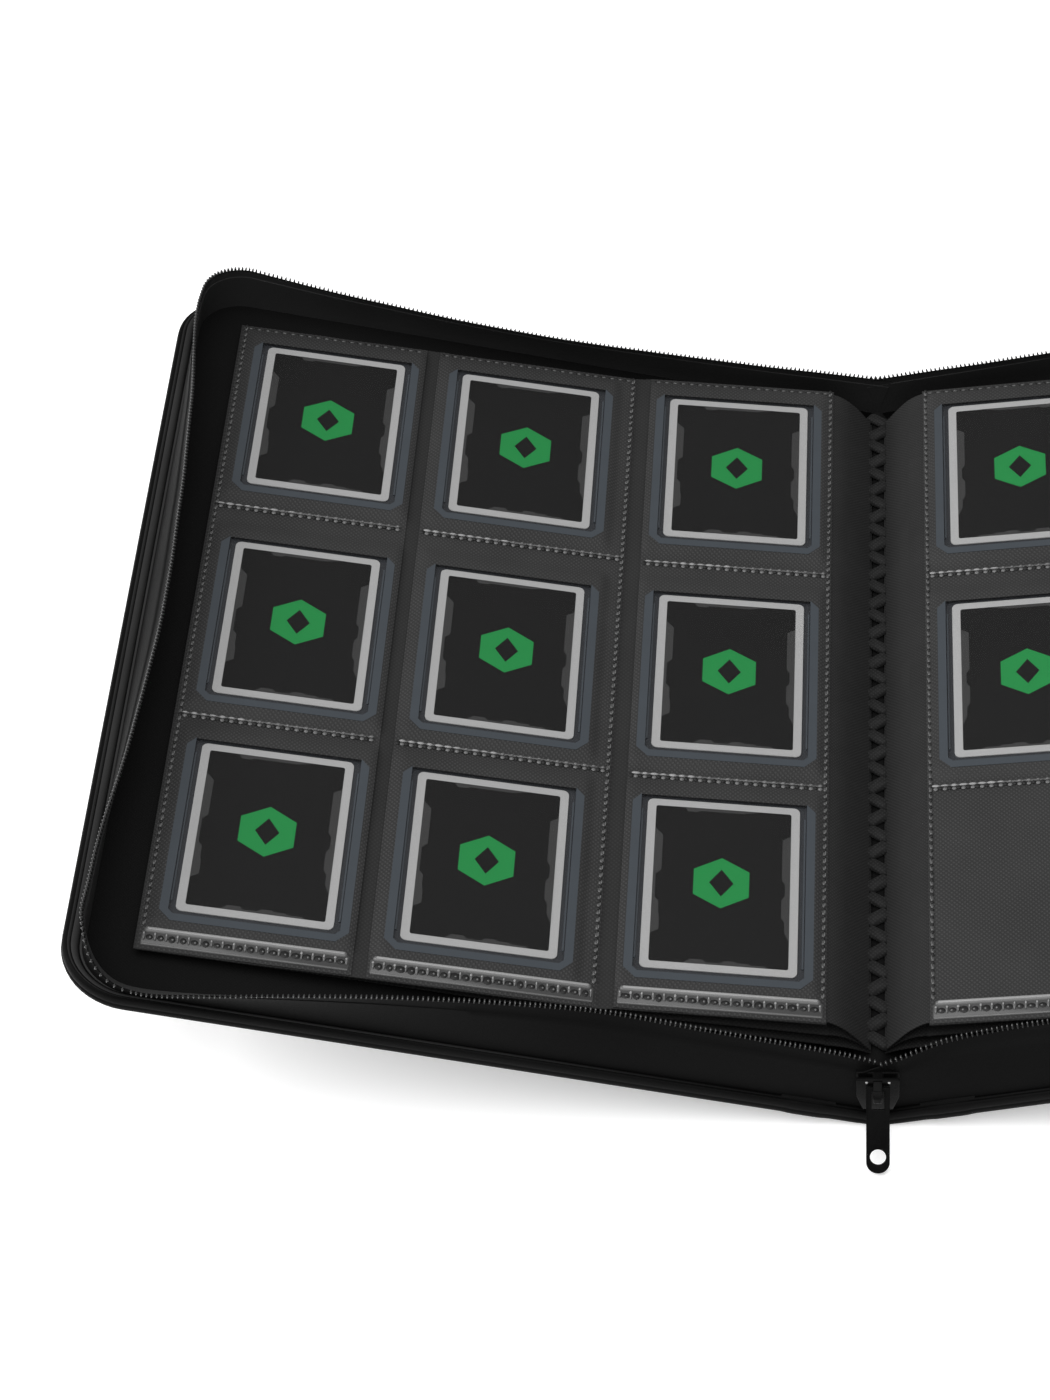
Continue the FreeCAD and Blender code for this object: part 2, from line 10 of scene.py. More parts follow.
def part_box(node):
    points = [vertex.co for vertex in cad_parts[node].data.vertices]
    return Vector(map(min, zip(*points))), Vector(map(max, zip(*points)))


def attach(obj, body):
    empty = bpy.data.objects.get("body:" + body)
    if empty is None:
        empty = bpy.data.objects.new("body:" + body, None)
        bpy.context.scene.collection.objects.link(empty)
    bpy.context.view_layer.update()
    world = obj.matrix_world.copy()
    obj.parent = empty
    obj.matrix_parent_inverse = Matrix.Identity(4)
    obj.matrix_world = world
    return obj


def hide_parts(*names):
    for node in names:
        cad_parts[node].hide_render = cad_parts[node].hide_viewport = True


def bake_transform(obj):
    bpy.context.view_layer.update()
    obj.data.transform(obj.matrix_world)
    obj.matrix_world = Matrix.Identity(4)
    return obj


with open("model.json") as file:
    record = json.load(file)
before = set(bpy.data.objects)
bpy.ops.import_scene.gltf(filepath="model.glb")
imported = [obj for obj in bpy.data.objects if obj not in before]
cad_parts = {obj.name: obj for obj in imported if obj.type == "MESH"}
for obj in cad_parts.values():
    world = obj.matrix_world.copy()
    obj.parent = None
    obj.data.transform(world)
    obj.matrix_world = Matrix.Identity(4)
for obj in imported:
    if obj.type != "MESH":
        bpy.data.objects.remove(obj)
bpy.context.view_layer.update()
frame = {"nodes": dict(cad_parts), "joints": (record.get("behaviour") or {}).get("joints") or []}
mm = 0.001
sides = {"left": -1, "right": 1}
joints = {joint["name"]: joint for joint in frame["joints"]}


# planes of the frame: the covers' V, and the page planes over it
hinge = Vector(joints["right_cover_hinge"]["pos_m"])
coverTilt = math.radians(90 - joints["right_cover_hinge"]["range_deg"][1])
foldReach = hinge.x / math.cos(coverTilt)
spineLevel = hinge.z - hinge.x * math.tan(coverTilt)
pageTilts = {"inner": math.radians(6.25), "outer": math.radians(11.44)}
filmThick = 0.4 * mm


def coverPoint(sign, reach, y, rise):
    across = reach * math.cos(coverTilt) - rise * math.sin(coverTilt)
    level = spineLevel + reach * math.sin(coverTilt) + rise * math.cos(coverTilt)
    return Vector((sign * across, y, level))


def foldEnds(side, half):  # two points on the cover's plane, half a span either side of the fold line
    return [tuple(coverPoint(sides[side], foldReach + end * half, 0, 0)) for end in (-1, 1)]


def pageLevel(plane):
    low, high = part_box(f"right_film_{plane}")
    tilt = pageTilts[plane]
    reach = (high.x - filmThick * math.sin(tilt)) / math.cos(tilt)
    return high.z - reach * math.sin(tilt)


pageLevels = {plane: pageLevel(plane) for plane in pageTilts}


def pagePoint(sign, reach, y, depth, plane):
    tilt = pageTilts[plane]
    across = reach * math.cos(tilt) + depth * math.sin(tilt)
    level = pageLevels[plane] + reach * math.sin(tilt) - depth * math.cos(tilt)
    return Vector((sign * across, y, level))


def smooth(low, high, value):
    share = min(1.0, max(0.0, (value - low) / (high - low)))
    return share * share * (3 - 2 * share)


def leafPoint(sign, reach, y, depth):  # inner plane turning into the outer one at the bend
    share = smooth(103 * mm, 115 * mm, reach)
    return pagePoint(sign, reach, y, depth, "inner").lerp(pagePoint(sign, reach, y, depth, "outer"), share)


def curveThrough(points, value):  # smooth reading of a short list of (place, amount)
    count = len(points)
    k = max(0, min(count - 2, sum(1 for place, _ in points[1:-1] if place <= value)))
    (placeA, amountA), (placeB, amountB) = points[k], points[k + 1]
    gap = placeB - placeA

    def slope(n):
        before, after = points[max(0, n - 1)], points[min(count - 1, n + 1)]
        return (after[1] - before[1]) / (after[0] - before[0])

    t = (value - placeA) / gap
    start = (1 + 2 * t) * (1 - t) ** 2 * amountA + t * (1 - t) ** 2 * gap * slope(k)
    return start + t * t * (3 - 2 * t) * amountB - t * t * (1 - t) * gap * slope(k + 1)


# shader maths
class Wire:
    def __init__(self, tree, socket):
        self.tree = tree
        self.socket = socket

    def maths(self, operation, *others):
        values = dict(enumerate([self, *others]))
        return makeNode(self.tree, "ShaderNodeMath", {"operation": operation}, values)

    def reflected(self, operation, other):
        return makeNode(self.tree, "ShaderNodeMath", {"operation": operation}, {0: other, 1: self})

    def __add__(self, other):
        return self.maths("ADD", other)

    def __sub__(self, other):
        return self.maths("SUBTRACT", other)

    def __rsub__(self, other):
        return self.reflected("SUBTRACT", other)

    def __mul__(self, other):
        return self.maths("MULTIPLY", other)

    __radd__ = __add__
    __rmul__ = __mul__


def makeNode(tree, kind, settings, values, output=0):
    node = tree.nodes.new(kind)
    for name, value in settings.items():
        if name == "stops":
            for element, (place, colour) in zip(node.color_ramp.elements, value):
                element.position = place
                element.color = colour
        else:
            setattr(node, name, value)
    for name, value in values.items():
        if isinstance(value, Wire):
            tree.links.new(value.socket, node.inputs[name])
        else:
            node.inputs[name].default_value = value
    return Wire(tree, node.outputs[output])


def grey(level):
    return (level, level, level, 1)


class Paint:
    def __init__(self, name, values):
        self.material = bpy.data.materials.new(name)
        self.material.use_nodes = True
        self.tree = self.material.node_tree
        self.shader = self.tree.nodes["Principled BSDF"]
        for socket, value in values.items():
            self.shader.inputs[socket].default_value = value

    def node(self, kind, settings, values, output=0):
        return makeNode(self.tree, kind, settings, values, output)

    def feed(self, socket, wire):
        self.tree.links.new(wire.socket, self.shader.inputs[socket])

    def flat(self):  # a piece's own flat layout, in metres
        return self.node("ShaderNodeUVMap", {"uv_map": "flat"}, {})

    def place(self):
        return self.node("ShaderNodeTexCoord", {}, {}, "Object")

    def mottle(self, vector, scale, detail=3.0):
        values = {"Vector": vector, "Scale": scale, "Detail": detail}
        return self.node("ShaderNodeTexNoise", {}, values, "Fac")

    def stripes(self, vector, scale, turn):
        turned = self.node("ShaderNodeMapping", {}, {"Vector": vector, "Rotation": (0, 0, turn)})
        values = {"Vector": turned, "Scale": scale}
        return self.node("ShaderNodeTexWave", {"wave_type": "BANDS"}, values, "Fac")

    def blendColours(self, factor, first, second):
        values = {"Factor": factor, 6: first, 7: second}
        return self.node("ShaderNodeMix", {"data_type": "RGBA"}, values, 2)

    def bump(self, height, strength, distance):
        values = {"Height": height, "Strength": strength, "Distance": distance}
        self.feed("Normal", self.node("ShaderNodeBump", {}, values, "Normal"))


def paintCoatedCloth(name, dark, light, grain, roughness, wear, shine=0.03, fadeTo=None):
    paint = Paint(name, {"Specular IOR Level": shine})
    place = paint.place()
    cells = {"Vector": place, "Scale": grain}
    pebble = paint.node("ShaderNodeTexVoronoi", {"feature": "SMOOTH_F1"}, cells, "Distance")
    broad = paint.mottle(place, 14.0)
    colour = paint.blendColours(broad, grey(dark), grey(light))
    if fadeTo:  # darker toward the spine, where the painted piping highlight fades out
        reach = paint.node("ShaderNodeSeparateXYZ", {}, {"Vector": place}, "X").maths("ABSOLUTE")
        ends = {"Value": reach, "From Min": foldReach, "From Max": 0.3}
        share = paint.node("ShaderNodeMapRange", {"interpolation_type": "SMOOTHSTEP"}, ends, "Result")
        colour = paint.blendColours(share, grey(fadeTo), colour)
    paint.feed("Base Color", colour)
    paint.feed("Roughness", broad * wear + roughness)
    paint.bump(pebble + paint.mottle(place, grain * 2.5) * 0.4, 0.35, 0.15 * mm)
    return paint.material


def paintWeave(name, dark, light, pitch, roughness, depth):
    paint = Paint(name, {"Specular IOR Level": 0.14, "Sheen Weight": 0.02, "Sheen Roughness": 0.5})
    flat = paint.flat()
    scale = 2 * math.pi / (20 * pitch)
    one = paint.stripes(flat, scale, math.radians(45))
    other = paint.stripes(flat, scale, math.radians(-45))
    weave = one * other
    cloud = paint.mottle(flat, 30.0)
    fine = paint.mottle(flat, 900.0)
    paint.feed("Base Color", paint.blendColours(weave * 0.6 + cloud * 0.4, grey(dark), grey(light)))
    paint.feed("Roughness", fine * 0.2 + roughness)
    paint.bump(weave + fine * 0.5, 0.6, depth)
    return paint.material


def paintPlastic(name, colour, roughness, coat, alpha=1.0, scratch=0.12):
    look = {"Specular IOR Level": 0.3, "Coat Weight": coat, "Coat Roughness": 0.2, "Alpha": alpha}
    paint = Paint(name, look)
    place = paint.place()
    haze = paint.mottle(place, 90.0)
    shade = tuple(0.8 * part for part in colour[:3]) + (1,)
    paint.feed("Base Color", paint.blendColours(haze, colour, shade))
    paint.feed("Roughness", haze * scratch + roughness)
    paint.bump(paint.mottle(place, 400.0), 0.08, 0.1 * mm)
    return paint.material


def paintPrint(name, colour, roughness):
    paint = Paint(name, {"Specular IOR Level": 0.15})
    place = paint.place()
    fibre = paint.mottle(place, 1500.0)
    shade = tuple(0.86 * part for part in colour[:3]) + (1,)
    paint.feed("Base Color", paint.blendColours(fibre, shade, colour))
    paint.feed("Roughness", fibre * 0.15 + roughness)
    return paint.material


def paintMetal(name, level, roughness):
    paint = Paint(name, {"Specular IOR Level": 0.04})
    place = paint.place()
    wear = paint.mottle(place, 220.0, 6.0)
    paint.feed("Base Color", paint.blendColours(wear, grey(level), grey(level * 2.2)))
    paint.feed("Roughness", wear * 0.22 + roughness)
    paint.bump(paint.mottle(place, 700.0), 0.06, 0.1 * mm)
    return paint.material


leather = paintCoatedCloth("coverLeather", 0.0024, 0.0048, 900.0, 0.42, 0.12)
# painted highlight on the tops of the cover's border piping, fading out toward the spine
pipingHighlightPaint = paintCoatedCloth("coverPipingPaintedHighlight", 0.018, 0.034, 1500.0, 0.4, 0.1, 0.03, 0.0036)
wallCloth = paintCoatedCloth("zipWallCloth", 0.0032, 0.0056, 1500.0, 0.5, 0.12)
wallInside = paintCoatedCloth("zipWallInside", 0.022, 0.036, 1500.0, 0.6, 0.12, 0.06)
liningCloth = paintWeave("liningCloth", 0.002, 0.005, 1.0 * mm, 0.8, 0.1 * mm)
leafCloth = paintWeave("leafCloth", 0.014, 0.030, 1.5 * mm, 0.55, 0.12 * mm)
filmCloth = paintWeave("filmOverCloth", 0.018, 0.050, 1.5 * mm, 0.42, 0.32 * mm)
marginCloth = paintWeave("marginCloth", 0.010, 0.032, 1.2 * mm, 0.6, 0.2 * mm)
laceCloth = paintWeave("laceCloth", 0.008, 0.030, 1.4 * mm, 0.6, 0.2 * mm)
# painted highlights on the welds
weldLight = paintPlastic("weldHighlight", grey(0.26), 0.3, 0.3)
weldFilm = paintPlastic("weldedFilm", grey(0.058), 0.3, 0.3)
weldRim = paintPlastic("weldRim", grey(0.12), 0.3, 0.2)
# painted shade: near-black spots standing for the shade in the welds' pits
weldPitPaintedShade = paintPlastic("weldPitPaintedShade", grey(0.008), 0.5, 0.0)
railPlastic = paintPlastic("sleeveRail", (0.043, 0.051, 0.060, 1), 0.35, 0.2)
sleevePlastic = paintPlastic("sleevePlate", (0.020, 0.022, 0.026, 1), 0.45, 0.1)
clearPlastic = paintPlastic("clearFilm", grey(0.2), 0.3, 0.0, 0.012)
cardPale = paintPrint("cardBorder", grey(0.33), 0.6)
cardDark = paintPrint("cardGround", grey(0.0042), 0.6)
cardGrey = paintPrint("cardTorn", grey(0.035), 0.6)
cardGreen = paintPrint("cardEmblem", (0.012, 0.200, 0.048, 1), 0.6)
metalBlack = paintMetal("blackMetal", 0.0018, 0.16)
pinMetal = paintMetal("pinMetal", 0.25, 0.3)
teethPlastic = paintPlastic("zipTeeth", grey(0.016), 0.4, 0.1)
# painted highlight on the black zip teeth
toothHighlightPaint = paintPlastic("zipToothPaintedHighlights", grey(0.15), 0.3, 0.2)
print("materials made")


# mesh helpers
def finishObject(name, mesh, materials, angle=40):
    for material in materials:
        mesh.materials.append(material)
    mesh.polygons.foreach_set("use_smooth", [True] * len(mesh.polygons))
    mesh.set_sharp_from_angle(angle=math.radians(angle))
    made = bpy.data.objects.new(name, mesh)
    bpy.context.scene.collection.objects.link(made)
    return made


def solidGrid(name, top, bottom, materials, pickMaterial=None, angle=40, under=0):
    # a thin closed sheet from two grids of the same size
    rows = len(top)
    columns = len(top[0])
    total = rows * columns
    verts = [point for row in top for point in row] + [point for row in bottom for point in row]
    faces = []
    picks = []

    def at(i, j, layer):
        return layer * total + i * columns + j

    for i in range(rows - 1):
        for j in range(columns - 1):
            pick = pickMaterial(i, j) if pickMaterial else 0
            faces.append((at(i, j, 0), at(i, j + 1, 0), at(i + 1, j + 1, 0), at(i + 1, j, 0)))
            faces.append((at(i, j, 1), at(i + 1, j, 1), at(i + 1, j + 1, 1), at(i, j + 1, 1)))
            picks += [pick, pick or under]
    border = [(i, 0) for i in range(rows)] + [(rows - 1, j) for j in range(1, columns)]
    border += [(i, columns - 1) for i in range(rows - 2, -1, -1)]
    border += [(0, j) for j in range(columns - 2, 0, -1)]
    for (i, j), (k, n) in zip(border, border[1:] + border[:1]):
        faces.append((at(i, j, 0), at(k, n, 0), at(k, n, 1), at(i, j, 1)))
        picks.append(0)
    mesh = bpy.data.meshes.new(name)
    mesh.from_pydata(verts, [], faces)
    mesh.polygons.foreach_set("material_index", picks)
    flat = layFlat(top)
    layer = mesh.uv_layers.new(name="flat")
    for loop in mesh.loops:
        layer.data[loop.index].uv = flat[loop.vertex_index % total]
    tidyNormals(mesh)
    return finishObject(name, mesh, materials, angle)


def layeredSheet(name, alongs, acrosses, layers, materials, **options):
    # layers(along, across) gives the upper and the lower point
    pairs = [[layers(along, across) for across in acrosses] for along in alongs]
    tops, bottoms = ([[pair[n] for pair in row] for row in pairs] for n in (0, 1))
    return solidGrid(name, tops, bottoms, materials, **options)


def layFlat(grid):  # distance along the rows and columns, so that a weave keeps its real size
    flat = []
    along = 0.0
    for i, row in enumerate(grid):
        if i:
            along += (row[len(row) // 2] - grid[i - 1][len(row) // 2]).length
        across = 0.0
        for j, point in enumerate(row):
            if j:
                across += (point - row[j - 1]).length
            flat.append((across, along))
    return flat


def tidyNormals(mesh):
    work = bmesh.new()
    work.from_mesh(mesh)
    bmesh.ops.recalc_face_normals(work, faces=work.faces)
    work.to_mesh(mesh)
    work.free()


def flatFromPlace(mesh):
    layer = mesh.uv_layers.new(name="flat")
    for loop in mesh.loops:
        spot = mesh.vertices[loop.vertex_index].co
        layer.data[loop.index].uv = (spot.x + spot.z * 0.3, spot.y + spot.z * 0.3)


def closedMesh(name, verts, faces):
    mesh = bpy.data.meshes.new(name)
    mesh.from_pydata(verts, [], faces)
    tidyNormals(mesh)
    flatFromPlace(mesh)
    return mesh


class Carver:
    # gathers prisms and beads into one mesh
    def __init__(self):
        self.work = bmesh.new()

    def prism(self, outline, place, low, high, pick=0, chamfer=0.0):
        # outline in (reach, y); place(reach, y, depth) gives the point; low is the deeper side
        base = [self.work.verts.new(place(u, v, low)) for u, v in outline]
        rim = [self.work.verts.new(place(u, v, high + chamfer)) for u, v in outline]
        crown = rim
        if chamfer:
            inner = shrink(outline, chamfer)
            crown = [self.work.verts.new(place(u, v, high)) for u, v in inner]
        count = len(outline)
        loops = [base, rim] + ([crown] if chamfer else [])
        made = []
        for first, second in zip(loops, loops[1:]):
            for k in range(count):
                n = (k + 1) % count
                made.append(self.work.faces.new((first[k], first[n], second[n], second[k])))
        made.append(self.work.faces.new(crown))
        made.append(self.work.faces.new(base[::-1]))
        for face in made:
            face.material_index = pick

    def bead(self, centre, axes, pick=0, rings=4, around=8):
        grid = []
        for i in range(1, rings):
            lift = math.pi * i / rings
            ring = []
            for k in range(around):
                turn = 2 * math.pi * k / around
                spot = axes[0] * math.sin(lift) * math.cos(turn) + axes[1] * math.sin(lift) * math.sin(turn)
                ring.append(self.work.verts.new(centre + spot + axes[2] * math.cos(lift)))
            grid.append(ring)
        tip = self.work.verts.new(centre + axes[2])
        tail = self.work.verts.new(centre - axes[2])
        for k in range(around):
            n = (k + 1) % around
            faces = [self.work.faces.new((tip, grid[0][k], grid[0][n]))]
            faces.append(self.work.faces.new((tail, grid[-1][n], grid[-1][k])))
            for first, second in zip(grid, grid[1:]):
                faces.append(self.work.faces.new((first[k], second[k], second[n], first[n])))
            for face in faces:
                face.material_index = pick

    def release(self, name, materials, angle=35):
        bmesh.ops.recalc_face_normals(self.work, faces=self.work.faces)
        mesh = bpy.data.meshes.new(name)
        self.work.to_mesh(mesh)
        self.work.free()
        flatFromPlace(mesh)
        return finishObject(name, mesh, materials, angle)


def shrink(outline, amount):
    # moves an outline inward by an amount
    count = len(outline)
    area = sum(a[0] * b[1] - b[0] * a[1] for a, b in zip(outline, outline[1:] + outline[:1]))
    way = 1 if area > 0 else -1
    result = []
    for k in range(count):
        before = Vector(outline[k]) - Vector(outline[k - 1])
        after = Vector(outline[(k + 1) % count]) - Vector(outline[k])
        normals = [Vector((-d.y, d.x)).normalized() * way for d in (before, after)]
        middle = (normals[0] + normals[1]).normalized()
        reach = amount / max(0.35, middle.dot(normals[0]))
        result.append(tuple(Vector(outline[k]) + middle * reach))
    return result


def roundedBox(centre, wide, tall, radius, steps=5):
    points = []
    corners = ((1, 1, 0), (-1, 1, 90), (-1, -1, 180), (1, -1, 270))
    for a, b, start in corners:
        u = centre[0] + a * (wide / 2 - radius)
        v = centre[1] + b * (tall / 2 - radius)
        for k in range(steps + 1):
            turn = math.radians(start + 90 * k / steps)
            points.append((u + radius * math.cos(turn), v + radius * math.sin(turn)))
    return points


def aroundCover(reach, half, corner, start, straight=38, side=44, arcSteps=12):
    # the run along the near, outer and far edges: (reach, y, outward direction)
    points = []
    for k in range(straight):
        points.append((start + (reach - corner - start) * k / straight, -half, (0, -1)))
    for k in range(arcSteps):
        turn = math.radians(-90 + 90 * k / arcSteps)
        out = (math.cos(turn), math.sin(turn))
        points.append((reach - corner + corner * out[0], -half + corner + corner * out[1], out))
    for k in range(side):
        points.append((reach, -half + corner + 2 * (half - corner) * k / side, (1, 0)))
    for k in range(arcSteps):
        turn = math.radians(90 * k / arcSteps)
        out = (math.cos(turn), math.sin(turn))
        points.append((reach - corner + corner * out[0], half - corner + corner * out[1], out))
    for k in range(straight + 1):
        points.append((reach - corner - (reach - corner - start) * k / straight, half, (0, 1)))
    return points


def softened(node, name, width, materials, body, segments=2):
    # a CAD piece's own shape with its edges rounded
    source = frame["nodes"][node]
    work = bmesh.new()
    work.from_mesh(source.data)
    bmesh.ops.remove_doubles(work, verts=work.verts, dist=0.002 * mm)
    bmesh.ops.dissolve_limit(work, angle_limit=math.radians(2), verts=work.verts, edges=work.edges)
    sharp = [e for e in work.edges if e.is_manifold and e.calc_face_angle() > math.radians(35)]
    bmesh.ops.bevel(
        work, geom=sharp, offset=width, segments=segments, profile=0.6, affect="EDGES", clamp_overlap=True)
    mesh = bpy.data.meshes.new(name)
    work.to_mesh(mesh)
    work.free()
    flatFromPlace(mesh)
    made = finishObject(name, mesh, materials, 50)
    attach(made, body)
    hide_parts(node)
    return made


# covers, spine and the cloths over the fold
coverShape = {
    "reach": 331 * mm,
    "half": 205 * mm,
    "corner": 28 * mm,
    # border section: inset from the outer edge, rise over the inside face
    "section": [
        (14, -8.0), (4.0, -8.0), (1.6, -7.7), (0.5, -6.9), (0.0, -5.6), (0.1, -4.6), (0.6, -4.2),
        (0.15, -3.8), (0.0, -2.6), (0.25, -1.2), (1.0, -0.35), (2.2, 0.0), (3.0, -0.1), (3.4, -0.7),
        (3.8, -0.1), (4.6, 0.25), (5.8, 0.25), (6.6, -0.1), (7.0, -0.8), (7.5, -0.1), (8.4, 0.15),
    ],
    "nearShare": 0.42,  # how much of the border shows along the near and far edges
    "foldHalf": 7 * mm,
}


def makeCover(side):
    sign = sides[side]
    shape = coverShape
    start = foldReach + 0.35 * mm
    rings = []
    for inset, rise in shape["section"]:
        cut = inset * mm
        corner = max(shape["corner"] - cut * 0.8, 4 * mm)
        run = aroundCover(shape["reach"] - cut, shape["half"] - cut * shape["nearShare"], corner, start)
        rings.append([coverPoint(sign, u, v, rise * mm) for u, v, _ in run])
    count = len(rings[0])
    verts = [point for ring in rings for point in ring]
    faces = []
    for r in range(len(rings) - 1):
        for k in range(count - 1):
            a = r * count + k
            faces.append((a, a + 1, a + 1 + count, a + count))
    last = (len(rings) - 1) * count
    faces.append(tuple(range(count)))
    faces.append(tuple(range(last, last + count)))
    hingeFace = [r * count for r in range(len(rings))]
    hingeFace += [r * count + count - 1 for r in range(len(rings) - 1, -1, -1)]
    faces.append(tuple(hingeFace))
    mesh = closedMesh(side + "CoverShell", verts, faces)
    # the upward faces of the border piping get the lighter painted highlight
    pipingTopRows = [r for r, (_, rise) in enumerate(shape["section"][:-1]) if r > 9 and rise > -0.2]
    for face in mesh.polygons[: (len(rings) - 1) * (count - 1)]:
        face.material_index = 1 if face.index // (count - 1) in pipingTopRows else 0
    shell = finishObject(side + "CoverShell", mesh, [leather, pipingHighlightPaint], 60)
    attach(shell, side + "_cover")
    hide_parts(side + "_cover_skin", side + "_cover_board", side + "_cover_edging")

    carver = Carver()
    rim = aroundCover(shape["reach"] - 9 * mm, shape["half"] - 4.4 * mm, 22 * mm, start)
    outline = [(u, v) for u, v, _ in rim]
    carver.prism(outline, lambda u, v, d: coverPoint(sign, u, v, d), -0.6 * mm, 0.25 * mm)
    lining = carver.release(side + "CoverLining", [liningCloth])
    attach(lining, side + "_cover")
    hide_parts(side + "_cover_lining")


def endLoop(half):
    # (y, rise) all round a slice of the spine, with the covers' border shape at both ends
    near = [(half - inset * coverShape["nearShare"] * mm, rise * mm) for inset, rise in coverShape["section"]]
    under = [(near[0][0] * k / 6, near[0][1]) for k in range(-5, 6)]
    over = [(near[-1][0] * k / 6, near[-1][1]) for k in range(5, -6, -1)]
    return [(-y, rise) for y, rise in near[::-1]] + under + near + over


def makeSpine():
    # skin, board and lining of the V in one closed form
    loop = endLoop(coverShape["half"])
    reachEnd = foldReach - 0.5 * mm
    rows = []
    for k in range(-16, 17):
        sign = -1 if k < 0 else 1
        row = [coverPoint(sign, abs(k) / 16 * reachEnd, y, rise) for y, rise in loop]
        for point in row:
            point.z = max(point.z, 0.0)
        rows.append(row)
    count = len(loop)
    verts = [point for row in rows for point in row]
    faces = []
    for r in range(len(rows) - 1):
        for k in range(count):
            n = (k + 1) % count
            faces.append((r * count + k, r * count + n, (r + 1) * count + n, (r + 1) * count + k))
    faces.append(tuple(range(count)))
    faces.append(tuple(range((len(rows) - 1) * count, len(rows) * count)))
    mesh = closedMesh("spineShell", verts, faces)
    spine = finishObject("spineShell", mesh, [leather], 60)
    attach(spine, "spine")
    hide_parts("spine_skin", "spine_board", "spine_lining")


foldCloth = {
    "outerHalf": 10,
    "innerHalf": 11,
    "skin": 0.3 * mm,
    "backing": 0.2 * mm,
    "over": 0.7 * mm,  # inner cloth over the lining
    "crown": 0.3 * mm,
    "thick": 0.4 * mm,
}


def makeHingeCloths(side):
    # cloth that carries the skin and the lining over the fold
    sign = sides[side]
    half = coverShape["half"]
    start, end = foldEnds(side, coverShape["foldHalf"])
    loop = endLoop(half)[: -len(coverShape["section"]) + 10]

    def outerLayers(k, n):
        (y, rise), before, after = loop[k], loop[max(0, k - 1)], loop[min(len(loop) - 1, k + 1)]
        out = Vector((after[1] - before[1], before[0] - after[0])).normalized()
        away = foldCloth["outerHalf"] * (n / 7 - 1) * mm
        skin = foldCloth["skin"] * (1 - smooth(5 * mm, 10 * mm, abs(away))) + 0.03 * mm
        pair = []
        for depth, floor in ((skin, 0.02 * mm), (-foldCloth["backing"], 0.22 * mm)):
            point = coverPoint(sign, foldReach + away, y + out[0] * depth, rise + out[1] * depth)
            point.z = max(point.z, floor)
            pair.append(point)
        return pair

    outer = layeredSheet(side + "OuterHinge", range(len(loop)), range(15), outerLayers, [leather], angle=60)
    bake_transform(outer)

    def innerLayers(k, n):
        y = (half - 2.0 * mm) * (k / 20 - 1)
        away = foldCloth["innerHalf"] * (n / 6 - 1)
        rise = foldCloth["over"] + foldCloth["crown"] * math.exp(-((away / 2.4) ** 2))
        layers = (0, foldCloth["thick"])
        return [coverPoint(sign, foldReach + away * mm, y, rise - under) for under in layers]

    inner = layeredSheet(side + "InnerHinge", range(41), range(13), innerLayers, [liningCloth])
    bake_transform(inner)


# zip wall: gusset, tape and teeth, from the slider round the cover to the spine's far end
wallShape = {
    "reach": 322 * mm,
    "half": 201.4 * mm,
    "corner": 22 * mm,
    "slant": 27.0 * mm,
    "thick": 1.3 * mm,
    # how far the free edge leans out (+) or in (-), by the share of the run from the slider
    "lean": {
        "left": [
            (0.0, -1), (0.02, -4), (0.05, -5), (0.075, -5.8), (0.116, -7), (0.19, 2), (0.27, 14),
            (0.295, 15), (0.315, 4), (0.35, 1), (0.42, -5), (0.49, -8), (0.6, -4), (0.66, 1),
            (0.7, -4), (0.75, -9), (0.83, -12.5), (0.92, -10), (1.0, -5),
        ],
        "right": [
            (0.0, 1), (0.015, -3), (0.033, -10), (0.055, -13), (0.075, -13.5), (0.14, -11), (0.29, 4),
            (0.34, 0), (0.48, -8), (0.66, 1), (0.74, -8), (0.9, -9), (1.0, -5),
        ],
    },
    "toothPitch": 2.0 * mm,
    "foldHalf": 10 * mm,
}


def wallRun():
    shape = wallShape
    run = aroundCover(shape["reach"], shape["half"], shape["corner"], 0.0, 75, 90, 16)
    total = 0.0
    lengths = [0.0]
    for (u, v, _), (p, q, _) in zip(run, run[1:]):
        total += math.hypot(p - u, q - v)
        lengths.append(total)
    return run, lengths, total


def wallPoint(side, u, v, out, share, climb, offset=0.0):
    # climb from 0 at the cover to 1 at the free edge; offset moves outward along the wall's thickness
    shape = wallShape
    lean = curveThrough(shape["lean"][side], share) * mm
    ripple = 0.5 * mm * noise.noise(Vector((u * 25, v * 25, 3.0))) * climb
    rise = climb * math.sqrt(shape["slant"] ** 2 - lean ** 2)
    bulge = lean * climb ** 1.5 + ripple + offset
    return coverPoint(sides[side], u + out[0] * bulge, v + out[1] * bulge, rise)


def makeWall(side):
    shape = wallShape
    run, lengths, total = wallRun()
    climbs = [0.0, 0.12, 0.25, 0.4, 0.55, 0.7, 0.79, 0.8, 0.9, 0.965]

    def layers(station, climb):
        (u, v, out), length = station
        offset = shape["thick"] * 0.5 * (0.45 if climb >= 0.8 else 1.0)  # the tape is thinner
        return [wallPoint(side, u, v, out, length / total, climb, end * offset) for end in (1, -1)]

    stations = list(zip(run, lengths))
    finishes = [wallCloth, wallInside]
    wall = layeredSheet(side + "ZipWall", stations, climbs, layers, finishes, angle=50, under=1)
    start, end = foldEnds(side, wallShape["foldHalf"])
    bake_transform(wall)
    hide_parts(side + "_zip_band", side + "_zip_tape", "near_gusset", "far_gusset")


